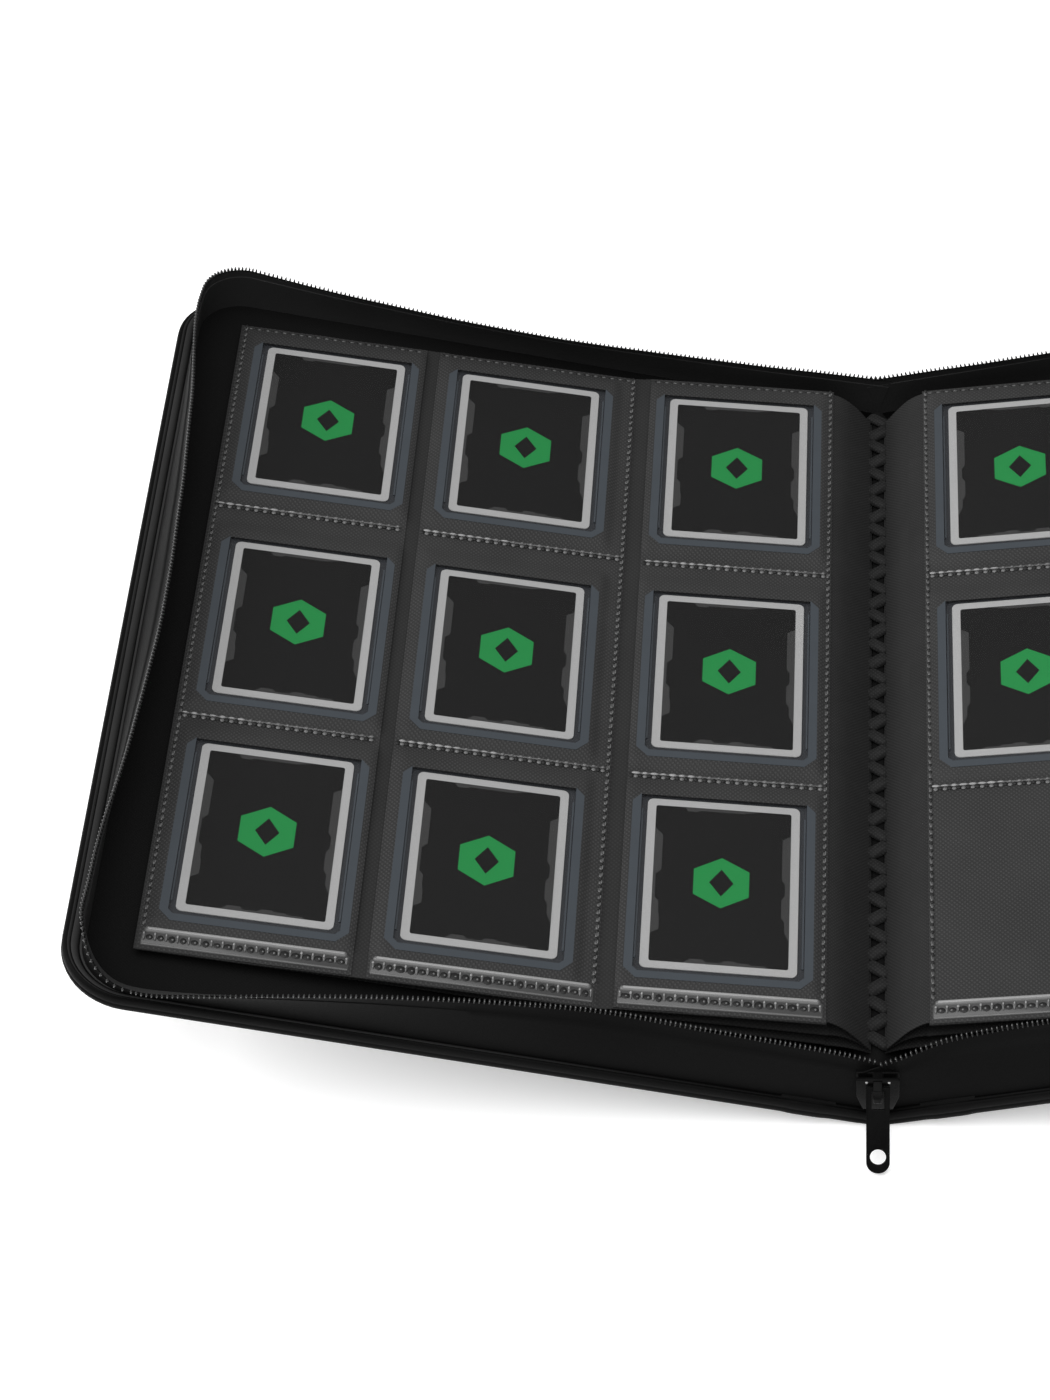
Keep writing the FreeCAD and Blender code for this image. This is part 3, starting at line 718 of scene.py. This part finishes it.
def makeTeeth(side):
    shape = wallShape
    run, lengths, total = wallRun()
    carver = Carver()
    count = int(total / shape["toothPitch"])
    k = 0
    for tooth in range(4, count):
        at = tooth * shape["toothPitch"]
        while k < len(lengths) - 2 and lengths[k + 1] < at:
            k += 1
        part = (at - lengths[k]) / (lengths[k + 1] - lengths[k])
        u = run[k][0] + (run[k + 1][0] - run[k][0]) * part
        v = run[k][1] + (run[k + 1][1] - run[k][1]) * part
        out = Vector(run[k][2]).lerp(Vector(run[k + 1][2]), part).normalized()
        share = at / total
        low = wallPoint(side, u, v, out, share, 0.955)
        high = wallPoint(side, u, v, out, share, 1.04)
        step = wallPoint(side, u - out[1] * mm, v + out[0] * mm, out, share, 0.955)
        along = (step - low).normalized()
        up = (high - low).normalized()
        outward = up.cross(along).normalized()
        wayOut = math.copysign(1, outward.dot(high - wallPoint(side, u, v, out, share, 1.04, -mm)))
        centre = low.lerp(high, 0.5)
        carver.bead(centre, (along * 0.5 * mm, outward * 0.9 * mm, up * 1.5 * mm), rings=3, around=6)
        # a pale cap on each tooth's top outer side: painted highlight
        tip = centre + outward * 0.62 * mm * wayOut + up * 0.8 * mm
        carver.bead(tip, (along * 0.27 * mm, outward * 0.32 * mm, up * 0.36 * mm), 1, rings=3, around=6)
    teeth = carver.release(side + "ZipTeeth", [teethPlastic, toothHighlightPaint], 60)
    start, end = foldEnds(side, wallShape["foldHalf"])
    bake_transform(teeth)
    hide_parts(side + "_zip_teeth", "spine_zip_teeth")


for side in sides:
    makeCover(side)
    makeHingeCloths(side)
    makeWall(side)
    makeTeeth(side)
makeSpine()
print("covers, spine and zip walls made")


# leaves with their pockets, sleeves and cards
leafShape = {
    "root": 24.2 * mm,
    "bend": 112 * mm,
    "reach": 298 * mm,
    "half": 183 * mm,
    "coreDepth": 2.5 * mm,
    "thick": 0.6 * mm,
    "lower": {2: (16.0, 8.4, 3.0), 3: (9.0, 5.0, 2.2)},  # rise at the root, the bend and the edge
}
columns = {"outer": (252.4, 211.5, 297.0), "middle": (162.1, 113.5, 205.5), "inner": (64.0, 20.5, 105.0)}
planeOf = {"outer": "outer", "middle": "outer", "inner": "inner"}
rows = {"upper": 125.3, "middle": 0.0, "lower": -117.5}
filledRows = {"left": ("upper", "middle", "lower"), "right": ("upper", "middle")}
welds = {"upper": 65.5, "lower": -58.5}
sleeveShape = {"wide": 76.2, "tall": 101.6, "chamfer": 5.0, "rail": 3.6}


def spread(first, last, step):
    count = max(1, round((last - first) / step))
    return [first + (last - first) * k / count for k in range(count + 1)]


def makeLeafSheet(side):
    sign = sides[side]
    shape = leafShape
    alongs = spread(-shape["half"], shape["half"], 6 * mm)
    acrosses = spread(shape["root"] - 4 * mm, shape["reach"], 5 * mm)

    def layers(y, reach):
        edge = smooth(0.6, 1.0, abs(y) / shape["half"])
        wave = 0.5 * mm * edge * noise.noise(Vector((reach * 22, y * 9, 1.0)))
        depths = (shape["coreDepth"], shape["coreDepth"] + shape["thick"])
        return [leafPoint(sign, reach, y, depth - wave) for depth in depths]

    made = layeredSheet(side + "LeafSheet", alongs, acrosses, layers, [leafCloth])
    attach(made, side + "_leaf")
    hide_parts(side + "_leaf_sheet")


def rootPath(sign, foot, crest, toward):
    # a margin's line from the gutter up to a leaf's root
    knee = Vector((crest.x * 0.42 + foot.x * 0.58, 0, foot.z + (crest.z - foot.z) * 0.66))
    handle = crest - toward * 9 * mm
    points = []
    for k in range(17):
        t = k / 16
        s = 1 - t
        points.append(foot * s ** 3 + knee * 3 * s * s * t + handle * 3 * s * t * t + crest * t ** 3)
    return points


def makeLowerLeaf(side, number):
    sign = sides[side]
    root, bend, edge = (value * mm for value in leafShape["lower"][number])
    half = leafShape["half"] - (0.6 + 0.5 * number) * mm
    first, turn, last = leafShape["root"], leafShape["bend"], leafShape["reach"]

    def layers(y, reach):
        share = smooth(60 * mm, 160 * mm, reach)
        riseIn = root + (bend - root) * (reach - first) / (turn - first)
        riseOut = bend + (edge - bend) * (reach - turn) / (last - turn)
        rise = riseIn * (1 - share) + riseOut * share
        wave = 0.35 * mm * noise.noise(Vector((reach * 18, y * 7, number * 5.0)))
        wave *= smooth(0.85, 1.0, abs(y) / half)
        return [coverPoint(sign, reach, y, rise + over + wave) for over in (leafShape["thick"], 0)]

    alongs, acrosses = spread(-half, half, 7 * mm), spread(first, last, 6 * mm)
    made = layeredSheet(f"{side}LowerLeaf{number}", alongs, acrosses, layers, [leafCloth])
    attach(made, side + "_stack")
    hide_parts(f"{side}_leaf_{number}")


def pathLength(path):
    return sum((b - a).length for a, b in zip(path, path[1:]))


def marginSheet(name, stretch, whole, half, thick, ridge, phase):
    # a gathered strip of cloth swept along the gutter, with small folds running up it
    first = whole.index(stretch[0])

    def layers(y, n):
        t = n / (len(whole) - 1)
        tangent = (whole[min(len(whole) - 1, n + 1)] - whole[max(0, n - 1)]).normalized()
        normal = Vector((-tangent.z, 0, tangent.x))
        if normal.z < 0:
            normal = -normal
        fold = noise.noise(Vector((y * 260, t * 2.2, phase)))
        fold += 0.5 * noise.noise(Vector((y * 520, t * 4, phase)))
        lift = ridge * fold * max(0.0, math.sin(math.pi * min(1.0, t * 1.05))) ** 0.6
        spot = Vector((whole[n].x, y, whole[n].z)) + normal * lift
        return spot, spot - normal * thick

    alongs, acrosses = spread(-half, half, 1.5 * mm), range(first, first + len(stretch))
    return layeredSheet(name, alongs, acrosses, layers, [marginCloth], angle=80)


def makeMargins(side):
    sign = sides[side]
    crest = leafPoint(sign, 24.0 * mm, 0, 2.4 * mm)
    toward = (leafPoint(sign, 40 * mm, 0, 2.4 * mm) - crest).normalized()
    path = rootPath(sign, Vector((sign * 3.6 * mm, 0, 19.2 * mm)), crest, toward)
    joined = 8
    parts = (
        ("OpenLeafGutter", path[: joined + 1], "spine", side + "_stack"),
        ("OpenLeafMargin", path[joined:], side + "_stack", side + "_leaf"),
    )
    for name, stretch, first, second in parts:
        margin = marginSheet(side + name, stretch, path, 181.5 * mm, 0.5 * mm, 0.32 * mm, 2.0 + sign)
        tuple(stretch[0])
        tuple(stretch[-1])
        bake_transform(margin)
        wide = pathLength(stretch)
        if second == side + "_leaf":
            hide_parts(side + "_margins")
    for number, level, foot in ((2, 16.3, (2.8, 17.4)), (3, 9.3, (2.4, 15.4))):
        crest = coverPoint(sign, 24.4 * mm, 0, level * mm)
        toward = (coverPoint(sign, 40 * mm, 0, (level - 1.6) * mm) - crest).normalized()
        path = rootPath(sign, Vector((sign * foot[0] * mm, 0, foot[1] * mm)), crest, toward)
        margin = marginSheet(
            f"{side}LowerMargin{number}", path, path, 181.0 * mm, 0.5 * mm, 0.15 * mm, number + sign)
        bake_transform(margin)
        wide = pathLength(path)


def sleeveDistance(side, column, u, v):
    # distance outside the nearest filled sleeve's outline, in millimetres
    best = 99.0
    for row in filledRows[side]:
        du = abs(u - columns[column][0]) - sleeveShape["wide"] / 2
        dv = abs(v - rows[row]) - sleeveShape["tall"] / 2
        best = min(best, math.hypot(max(du, 0), max(dv, 0)) if max(du, dv) > 0 else max(du, dv))
    return best


def clearPatch(column, row):
    # the part of a pocket's film that lies over the sleeve's open face
    inset = sleeveShape["rail"] - 0.3
    left = columns[column][0] - sleeveShape["wide"] / 2 + inset
    foot = rows[row] - sleeveShape["tall"] / 2 + inset
    return left, 2 * columns[column][0] - left, foot, rows[row] + 45.4


def makeFilm(side, column):
    sign = sides[side]
    centre, inside, outside = columns[column]
    openEdge = inside if column == "outer" else outside
    weldEdge = outside if column == "outer" else inside
    left, right = clearPatch(column, "middle")[:2]
    acrossStops = spread(inside, left, 1.6) + spread(left, right, 4.0)[1:] + spread(right, outside, 1.6)[1:]
    alongStops = {round(y, 2) for y in spread(-182.6, 182.6, 2.6)}
    patches = [clearPatch(column, row) for row in filledRows[side]]
    alongStops = sorted(alongStops | {round(end, 2) for patch in patches for end in patch[2:]})

    def layers(v, u):
        outsideSleeve = sleeveDistance(side, column, u, v)
        depth = 0.12 + 1.7 * smooth(0.0, 5.0, outsideSleeve)
        seam = min(abs(v - welds["upper"]), abs(v - welds["lower"]), 183 - abs(v), abs(u - weldEdge))
        depth += 0.35 * (1 - smooth(0.0, 3.5, seam))
        if abs(u - openEdge) < 5:
            ripple = 0.25 * noise.noise(Vector((u * 0.05, v * 0.05, 4.0))) - 0.1
            depth += ripple * smooth(0.0, 2.0, outsideSleeve)
        wave = 0.3 * noise.noise(Vector((u * 0.08, v * 0.06, sign * 3.0 + centre)))
        depth = min(depth + wave * smooth(1.0, 6.0, outsideSleeve), 2.2)
        depths = (depth, depth + 0.22)
        return [pagePoint(sign, u * mm, v * mm, level * mm, planeOf[column]) for level in depths]

    def pick(i, j):
        u = (acrossStops[j] + acrossStops[j + 1]) / 2
        v = (alongStops[i] + alongStops[i + 1]) / 2
        return 1 if any(a < u < b and c < v < d for a, b, c, d in patches) else 0

    name = f"{side}Film{column.capitalize()}"
    finishes = [filmCloth, clearPlastic]
    film = layeredSheet(name, alongStops, acrossStops, layers, finishes, pickMaterial=pick, angle=60)
    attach(film, side + "_leaf")
    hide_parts(f"{side}_film_{column}")


def makeSleeves(side, column):
    sign = sides[side]
    plane = planeOf[column]
    shape = sleeveShape
    carver = Carver()

    def place(u, v, depth):
        return pagePoint(sign, u * mm, v * mm, depth * mm, plane)

    for row in filledRows[side]:
        cu, cv = columns[column][0], rows[row]
        w, t, c, r = shape["wide"] / 2, shape["tall"] / 2, shape["chamfer"], shape["rail"]
        plate = [
            (cu - w, cv + t), (cu - w, cv - t + c), (cu - w + c, cv - t),
            (cu + w - c, cv - t), (cu + w, cv - t + c), (cu + w, cv + t),
        ]
        carver.prism(plate, place, 2.38, 1.9, 0)
        rail = [
            (cu - w, cv + t - 9), (cu - w, cv - t + c), (cu - w + c, cv - t), (cu + w - c, cv - t),
            (cu + w, cv - t + c), (cu + w, cv + t - 9), (cu + w - r, cv + t - 5),
            (cu + w - r, cv - t + c + 0.6), (cu + w - c - 0.6, cv - t + r),
            (cu - w + c + 0.6, cv - t + r), (cu - w + r, cv - t + c + 0.6), (cu - w + r, cv + t - 5),
        ]
        bandPrism(carver, rail, place, 1.9, 0.06)
        for end in (-1, 1):
            lip = [
                (cu + end * (w - r - 1.0), cv - t + 11), (cu + end * (w - r - 0.3), cv - t + 11),
                (cu + end * (w - r - 0.3), cv + t - 12), (cu + end * (w - r - 1.0), cv + t - 12),
            ]
            carver.prism(lip, place, 1.9, 1.3, 1)
    made = carver.release(f"{side}Sleeves{column.capitalize()}", [sleevePlastic, railPlastic])
    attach(made, side + "_leaf")
    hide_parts(f"{side}_sleeves_{column}")


def bandPrism(carver, outline, place, low, high):
    # a U-shaped rail: the outer and inner halves of its outline run side by side
    count = len(outline)
    half = count // 2
    outer = outline[:half]
    inner = outline[half:][::-1]
    for k in range(half - 1):
        quad = [outer[k], outer[k + 1], inner[k + 1], inner[k]]
        carver.prism(quad, place, low, high, 1)


def tornEdge(start, end, depth, seed):
    # a ragged band grown inward from the line start-end
    stream = random.Random(seed)
    along = Vector(end) - Vector(start)
    inward = Vector((-along.y, along.x)).normalized()
    points = [tuple(start)]
    t = 0.0
    while t < 1:
        level = stream.choice([0.35, 0.6, 0.85, 1.0]) * depth
        stretch = stream.uniform(0.12, 0.26)
        lead = min(0.04, stretch / 3)
        first = min(1.0, t + lead)
        last = min(1.0, t + stretch)
        if last >= 0.97:
            break
        points.append(tuple(Vector(start) + along * first + inward * level))
        points.append(tuple(Vector(start) + along * last + inward * level))
        t = last
    points.append(tuple(end))
    return points


cardShape = {
    "size": (63.5, 88.9),
    "corner": 2.6,
    "field": (56.3, 81.7),
    "markRise": 1.5,  # the mark's centre over the card's
    "hexagon": 13.2,
    "gem": (5.0, 7.0),
}


def makeCards(side, column):
    sign = sides[side]
    plane = planeOf[column]
    shape = cardShape
    carver = Carver()

    def place(u, v, depth):
        # print is drawn the right way up; on the left side it is mirrored across the gutter
        return pagePoint(sign, u * mm, v * mm, depth * mm, plane)

    for row in filledRows[side]:
        cu, cv = columns[column][0], rows[row]
        border = roundedBox((cu, cv), *shape["size"], shape["corner"])
        carver.prism(border, place, 1.85, 1.35, 0, 0.08)
        field = roundedBox((cu, cv), *shape["field"], 0.9, 3)
        carver.prism(field, place, 1.5, 1.28, 1)
        w, t = (length / 2 for length in shape["field"])
        edges = [
            ((cu - w, cv + t - 12), (cu - w, cv - t + 14), 3.4),
            ((cu + w, cv - t + 14), (cu + w, cv + t - 12), 3.4),
            ((cu + w - 12, cv + t), (cu - w + 12, cv + t), 2.6),
            ((cu - w + 8, cv - t), (cu + w - 14, cv - t), 2.6),
        ]
        for seed, (start, end, depth) in enumerate(edges, 11):
            fillRagged(carver, tornEdge(start, end, depth, seed), place, 1.4, 1.22)
        turns = [math.radians(60 * k + 30) for k in range(6)]
        r, cv = shape["hexagon"], cv + shape["markRise"]
        emblem = [(cu + r * math.cos(turn), cv + r * math.sin(turn)) for turn in turns]
        carver.prism(emblem, place, 1.4, 1.2, 3, 0.02)
        a, b = shape["gem"]
        gem = [(cu + a, cv), (cu, cv + b), (cu - a, cv), (cu, cv - b)]
        carver.prism(gem, place, 1.3, 1.12, 1)
    made = carver.release(f"{side}Cards{column.capitalize()}", [cardPale, cardDark, cardGrey, cardGreen])
    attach(made, side + "_leaf")
    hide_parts(f"{side}_cards_{column}")


def fillRagged(carver, points, place, low, high):
    # the ragged outline is cut into strips back to its straight base line
    start, end = Vector(points[0]), Vector(points[-1])
    along = (end - start).normalized()
    feet = [start + along * (Vector(point) - start).dot(along) for point in points]
    for k in range(len(points) - 1):
        corners = [tuple(feet[k]), tuple(feet[k + 1]), points[k + 1], points[k]]
        gaps = [(Vector(corner) - Vector(corners[n - 1])).length for n, corner in enumerate(corners)]
        unique = [corner for corner, gap in zip(corners, gaps) if gap > 0.01]
        if len(unique) >= 3:
            carver.prism(unique, place, low, high, 2)


weldShape = {
    "pitch": 3.9,
    "crimpPitch": 4.4,
    # strips along the near edge: y, extra length, width, corner, corner steps, low, high, finish, chamfer
    "strips": [
        (-177.0, 5, 7.4, 0.8, 3, 2.4, 1.5, 1, 0.5),  # flat band under the crimp
        (-173.2, 3, 3.0, 1.4, 4, 2.1, 0.75, 3, 0.9),  # swollen ridge
        (-173.0, 1, 1.7, 0.8, 4, 1.3, 0.62, 0, 0.45),  # its pale crown: painted highlight
        (-180.4, 4, 1.0, 0.4, 3, 2.2, 1.3, 3, 0.3),  # edge lip
    ],
}


def makeWelds(side):
    # heat-sealed seams: crimped rows, beaded columns and the deep crimp along the near edge
    sign = sides[side]
    carver = Carver()
    stream = random.Random(21)

    def vary():
        return stream.uniform(0.75, 1.25)

    for column, (centre, inside, outside) in columns.items():
        plane = planeOf[column]
        weldEdge = outside - 1.4 if column == "outer" else inside + 1.4

        def place(u, v, depth, plane=plane):
            return pagePoint(sign, u * mm, v * mm, depth * mm, plane)

        right = (place(centre + 1, 0, 0) - place(centre, 0, 0)).normalized()
        ahead = Vector((0, 1, 0))
        up = right.cross(ahead).normalized()
        up = up if up.z > 0 else -up

        def bead(u, v, depth, wide, long, high, pick):
            carver.bead(place(u, v, depth), (right * wide * mm, ahead * long * mm, up * high * mm), pick)

        for v in spread(-170, 180, weldShape["pitch"]):
            bead(weldEdge, v, 1.75, 0.8, 1.3 * vary(), 0.5, 1)
            bead(weldEdge - 0.5, v + 0.3, 1.35, 0.28, 1.0 * vary(), 0.25, 3)
            # dark bead between the column's beads: painted shade of a pit
            bead(weldEdge, v + 1.95, 1.5, 0.7, 0.75 * vary(), 0.3, 2)
        first, last = inside + 3.5, outside - 3.5
        for level in welds.values():
            y = level - (2.0 if column == "inner" else 0.0)
            ridge = roundedBox(((first + last) / 2, y + 1.0), last - first + 2, 1.5, 0.7, 3)
            carver.prism(ridge, place, 2.1, 1.25, 1, 0.45)
            for u in spread(first, last, weldShape["pitch"]):
                # beads toward the seam's outer end are bigger and pale: a painted highlight streak
                lit = (last - u if sign < 0 else u - first) < (last - first) * 0.4 * vary()
                bead(u, y + 0.8, 1.2, (1.5 if lit else 0.9) * vary(), 0.6 * vary(), 0.4, 0 if lit else 3)
                bead(u, y - 0.7, 1.6, 1.0, 0.9, 0.4, 3)
                # dark bead along the seam: painted shade of a pit
                bead(u + 1.95, y - 0.3, 1.4, 0.85 * vary(), 1.0 * vary(), 0.3, 2)
        for u in spread(first, last, weldShape["pitch"]):
            bead(u, 180.4, 1.6, 1.1, 0.6, 0.5, 1)
            # dark bead along the top seam: painted shade of a pit
            bead(u + 1.95, 180.4, 1.55, 0.7, 0.6, 0.3, 2)
        crimp = spread(first - 1.2, last + 1.2, weldShape["crimpPitch"])
        for y, longer, tall, corner, steps, low, high, finish, chamfer in weldShape["strips"]:
            strip = roundedBox(((first + last) / 2, y), last - first + longer, tall, corner, steps)
            carver.prism(strip, place, low, high, finish, chamfer)
        for a, b in zip(crimp, crimp[1:]):
            # dark ovals along the crimp: painted shade of its pits
            bead((a + b) / 2, -177.0, 1.4, 1.75 * vary(), 1.7 * vary(), 0.4, 2)
            # a small pale dot in each pit: painted glint
            bead((a + b) / 2 - 0.3, -177.2, 1.12, 0.5, 0.5 * vary(), 0.2, 3)
        for u in crimp:
            bead(u, -176.6, 1.2, 0.55 * vary(), 1.9 * vary(), 0.5, 3)
            # a small pale bead over each wall: painted glint
            bead(u + 0.1, -175.6, 0.95, 0.45 * vary(), 0.8 * vary(), 0.3, 0)
    made = carver.release(side + "Welds", [weldLight, weldFilm, weldPitPaintedShade, weldRim], 60)
    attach(made, side + "_leaf")


for side in sides:
    for number in leafShape["lower"]:
        makeLowerLeaf(side, number)
    makeLeafSheet(side)
    makeMargins(side)
    for column in columns:
        makeFilm(side, column)
        makeSleeves(side, column)
        makeCards(side, column)
    makeWelds(side)
print("leaves, pockets, sleeves and cards made")


# gutter: wrapped binding strip and its zigzag lacing
laceShape = {
    "pitch": 9.0 * mm,
    "first": -177 * mm,
    "count": 41,
    "long": 11.2,
    "wide": 5.6,
    "thick": 2.2,
    "corner": 2.2,
    "turn": 34,  # degrees, alternately each way
}


bindingShape = {
    "half": 190 * mm,
    "crest": 17.2 * mm,
    "flank": [(10, 8.8), (7, 11.5), (3.4, 14.2), (2.2, 16.6)],
}


def makeBinding():
    half = bindingShape["half"]
    flank = [(x * mm, z * mm) for x, z in bindingShape["flank"]]
    outline = [(-x, z) for x, z in flank] + [(0, bindingShape["crest"])] + flank[::-1]

    def layers(y, spot):
        foot = spineLevel + abs(spot[0]) * math.tan(coverTilt) + 0.2 * mm
        return Vector((spot[0], y, spot[1])), Vector((spot[0], y, foot))

    alongs = spread(-half, half, 8 * mm)
    strip = layeredSheet("bindingWrap", alongs, outline, layers, [liningCloth], angle=60)
    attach(strip, "spine")
    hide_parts("binding_strip")


def makeLacing():
    shape = laceShape
    carver = Carver()
    for k in range(shape["count"]):
        middle = shape["first"] + k * shape["pitch"]
        way = 1 if k % 2 else -1
        turn = math.radians(shape["turn"] * way)

        def place(u, v, depth, middle=middle, turn=turn, way=way):
            x = u * math.cos(turn) - v * math.sin(turn)
            y = u * math.sin(turn) + v * math.cos(turn)
            arch = 1.2 * (1 - (u / 5) ** 2) + 0.10 * v * way
            return Vector((x * mm, middle + y * mm, 18.0 * mm + (arch - depth) * mm))

        stitch = roundedBox((0, 0), shape["long"], shape["wide"], shape["corner"], 4)
        carver.prism(stitch, place, 0.6, 0.6 - shape["thick"], 0, 1.1)
    lace = carver.release("gutterLacing", [laceCloth], 75)
    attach(lace, "spine")
    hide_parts("gutter_lacing")


# zip end: closed chain, stop, slider and pull
chainShape = {
    "tooth": (1.5, 0.65, 0.55),
    "pitch": 1.45 * mm,
    "inset": 0.8 * mm,
    "aside": 1.3 * mm,
    "offset": 0.35 * mm,
}
pinShape = {"radii": (0.6, 0.45, 0.6), "aside": 4.4 * mm, "sunk": 0.1 * mm, "below": 1.6 * mm}


def uprightAxes(wide, deep, tall):  # half sizes in millimetres
    return Vector((wide * mm, 0, 0)), Vector((0, deep * mm, 0)), Vector((0, 0, tall * mm))


def makeChain():
    shape = chainShape
    low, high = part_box("closed_chain")
    carver = Carver()
    middle = (low.y + high.y) / 2
    for z in spread(low.z + shape["inset"], high.z - shape["inset"], shape["pitch"]):
        for end in (-1, 1):
            centre = Vector((end * shape["aside"], middle, z + (shape["offset"] if end > 0 else 0)))
            carver.bead(centre, uprightAxes(*chainShape["tooth"]), rings=4, around=8)
    chain = carver.release("closedChain", [teethPlastic])
    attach(chain, "spine")
    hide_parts("closed_chain")


def makePins():
    low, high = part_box("slider")
    carver = Carver()
    for end in (-1, 1):
        centre = Vector((end * pinShape["aside"], low.y + pinShape["sunk"], high.z - pinShape["below"]))
        carver.bead(centre, uprightAxes(*pinShape["radii"]), rings=6, around=12)
    pins = carver.release("sliderPins", [pinMetal])
    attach(pins, "slider")


makeBinding()
makeLacing()
makeChain()
softened("bottom_stop", "bottomStop", 0.25 * mm, [metalBlack], "spine")
softened("slider", "zipSlider", 0.4 * mm, [metalBlack], "slider")
softened("slider_bridge", "sliderBridge", 0.35 * mm, [metalBlack], "slider")
makePins()
softened("pull_tab", "pullTab", 0.35 * mm, [metalBlack], "pull")
print("gutter and zip end made")


# floor, lights and camera
def makeFloor():
    mesh = bpy.data.meshes.new("floor")
    reach = 6.0
    level = -0.0006
    corners = [(-reach, -reach, level), (reach, -reach, level), (reach, reach, level), (-reach, reach, level)]
    mesh.from_pydata([Vector(corner) for corner in corners], [], [(0, 1, 2, 3)])
    floor = bpy.data.objects.new("floor", mesh)
    bpy.context.scene.collection.objects.link(floor)
    look = {"Base Color": grey(0.9), "Roughness": 0.9, "Specular IOR Level": 0.1}
    paint = Paint("floorPaper", look | {"Emission Color": grey(1.0), "Emission Strength": 0.35})
    mesh.materials.append(paint.material)


lamps = {
    # name: (place, size, watts)
    "overhead": ((-0.2, -0.6, 2.3), 2.4, 50),
    "left": ((-2.0, 0.1, 1.3), 1.4, 34),
    "front": ((0.3, -2.2, 1.4), 1.6, 7),
}


def makeLights():
    for name, (place, size, watts) in lamps.items():
        data = bpy.data.lights.new(name, "AREA")
        data.shape = "SQUARE"
        data.size = size
        data.energy = watts
        lamp = bpy.data.objects.new(name, data)
        lamp.location = place
        lamp.rotation_euler = (Vector((0, 0, 0.05)) - Vector(place)).to_track_quat("-Z", "Y").to_euler()
        bpy.context.scene.collection.objects.link(lamp)
    world = bpy.data.worlds.new("studio")
    world.use_nodes = True
    world.node_tree.nodes["Background"].inputs["Color"].default_value = (1, 1, 1, 1)
    world.node_tree.nodes["Background"].inputs["Strength"].default_value = 0.35
    bpy.context.scene.world = world


view = {
    "place": (1.2 * mm, -1049.6 * mm, 1187.7 * mm),
    "yaw": -8.371,  # degrees, and so are the next two
    "pitch": 47.584,
    "roll": -6.242,
    "lens": 92.69,
}


def makeCamera():
    data = bpy.data.cameras.new("camera")
    data.lens = view["lens"]
    data.sensor_width = 36
    data.clip_end = 50
    camera = bpy.data.objects.new("camera", data)
    yaw, pitch, roll = (math.radians(view[key]) for key in ("yaw", "pitch", "roll"))
    ahead = Vector((math.sin(yaw) * math.cos(pitch), math.cos(yaw) * math.cos(pitch), -math.sin(pitch)))
    level = Vector((math.cos(yaw), -math.sin(yaw), 0))
    above = level.cross(ahead)
    right = level * math.cos(roll) + above * math.sin(roll)
    up = above * math.cos(roll) - level * math.sin(roll)
    turn = Matrix((right, up, -ahead)).transposed()
    camera.matrix_world = Matrix.Translation(view["place"]) @ turn.to_4x4()
    bpy.context.scene.collection.objects.link(camera)
    bpy.context.scene.camera = camera


makeFloor()
makeLights()
makeCamera()
bpy.context.scene.view_settings.view_transform = "Standard"
print("stage, lights and camera made")
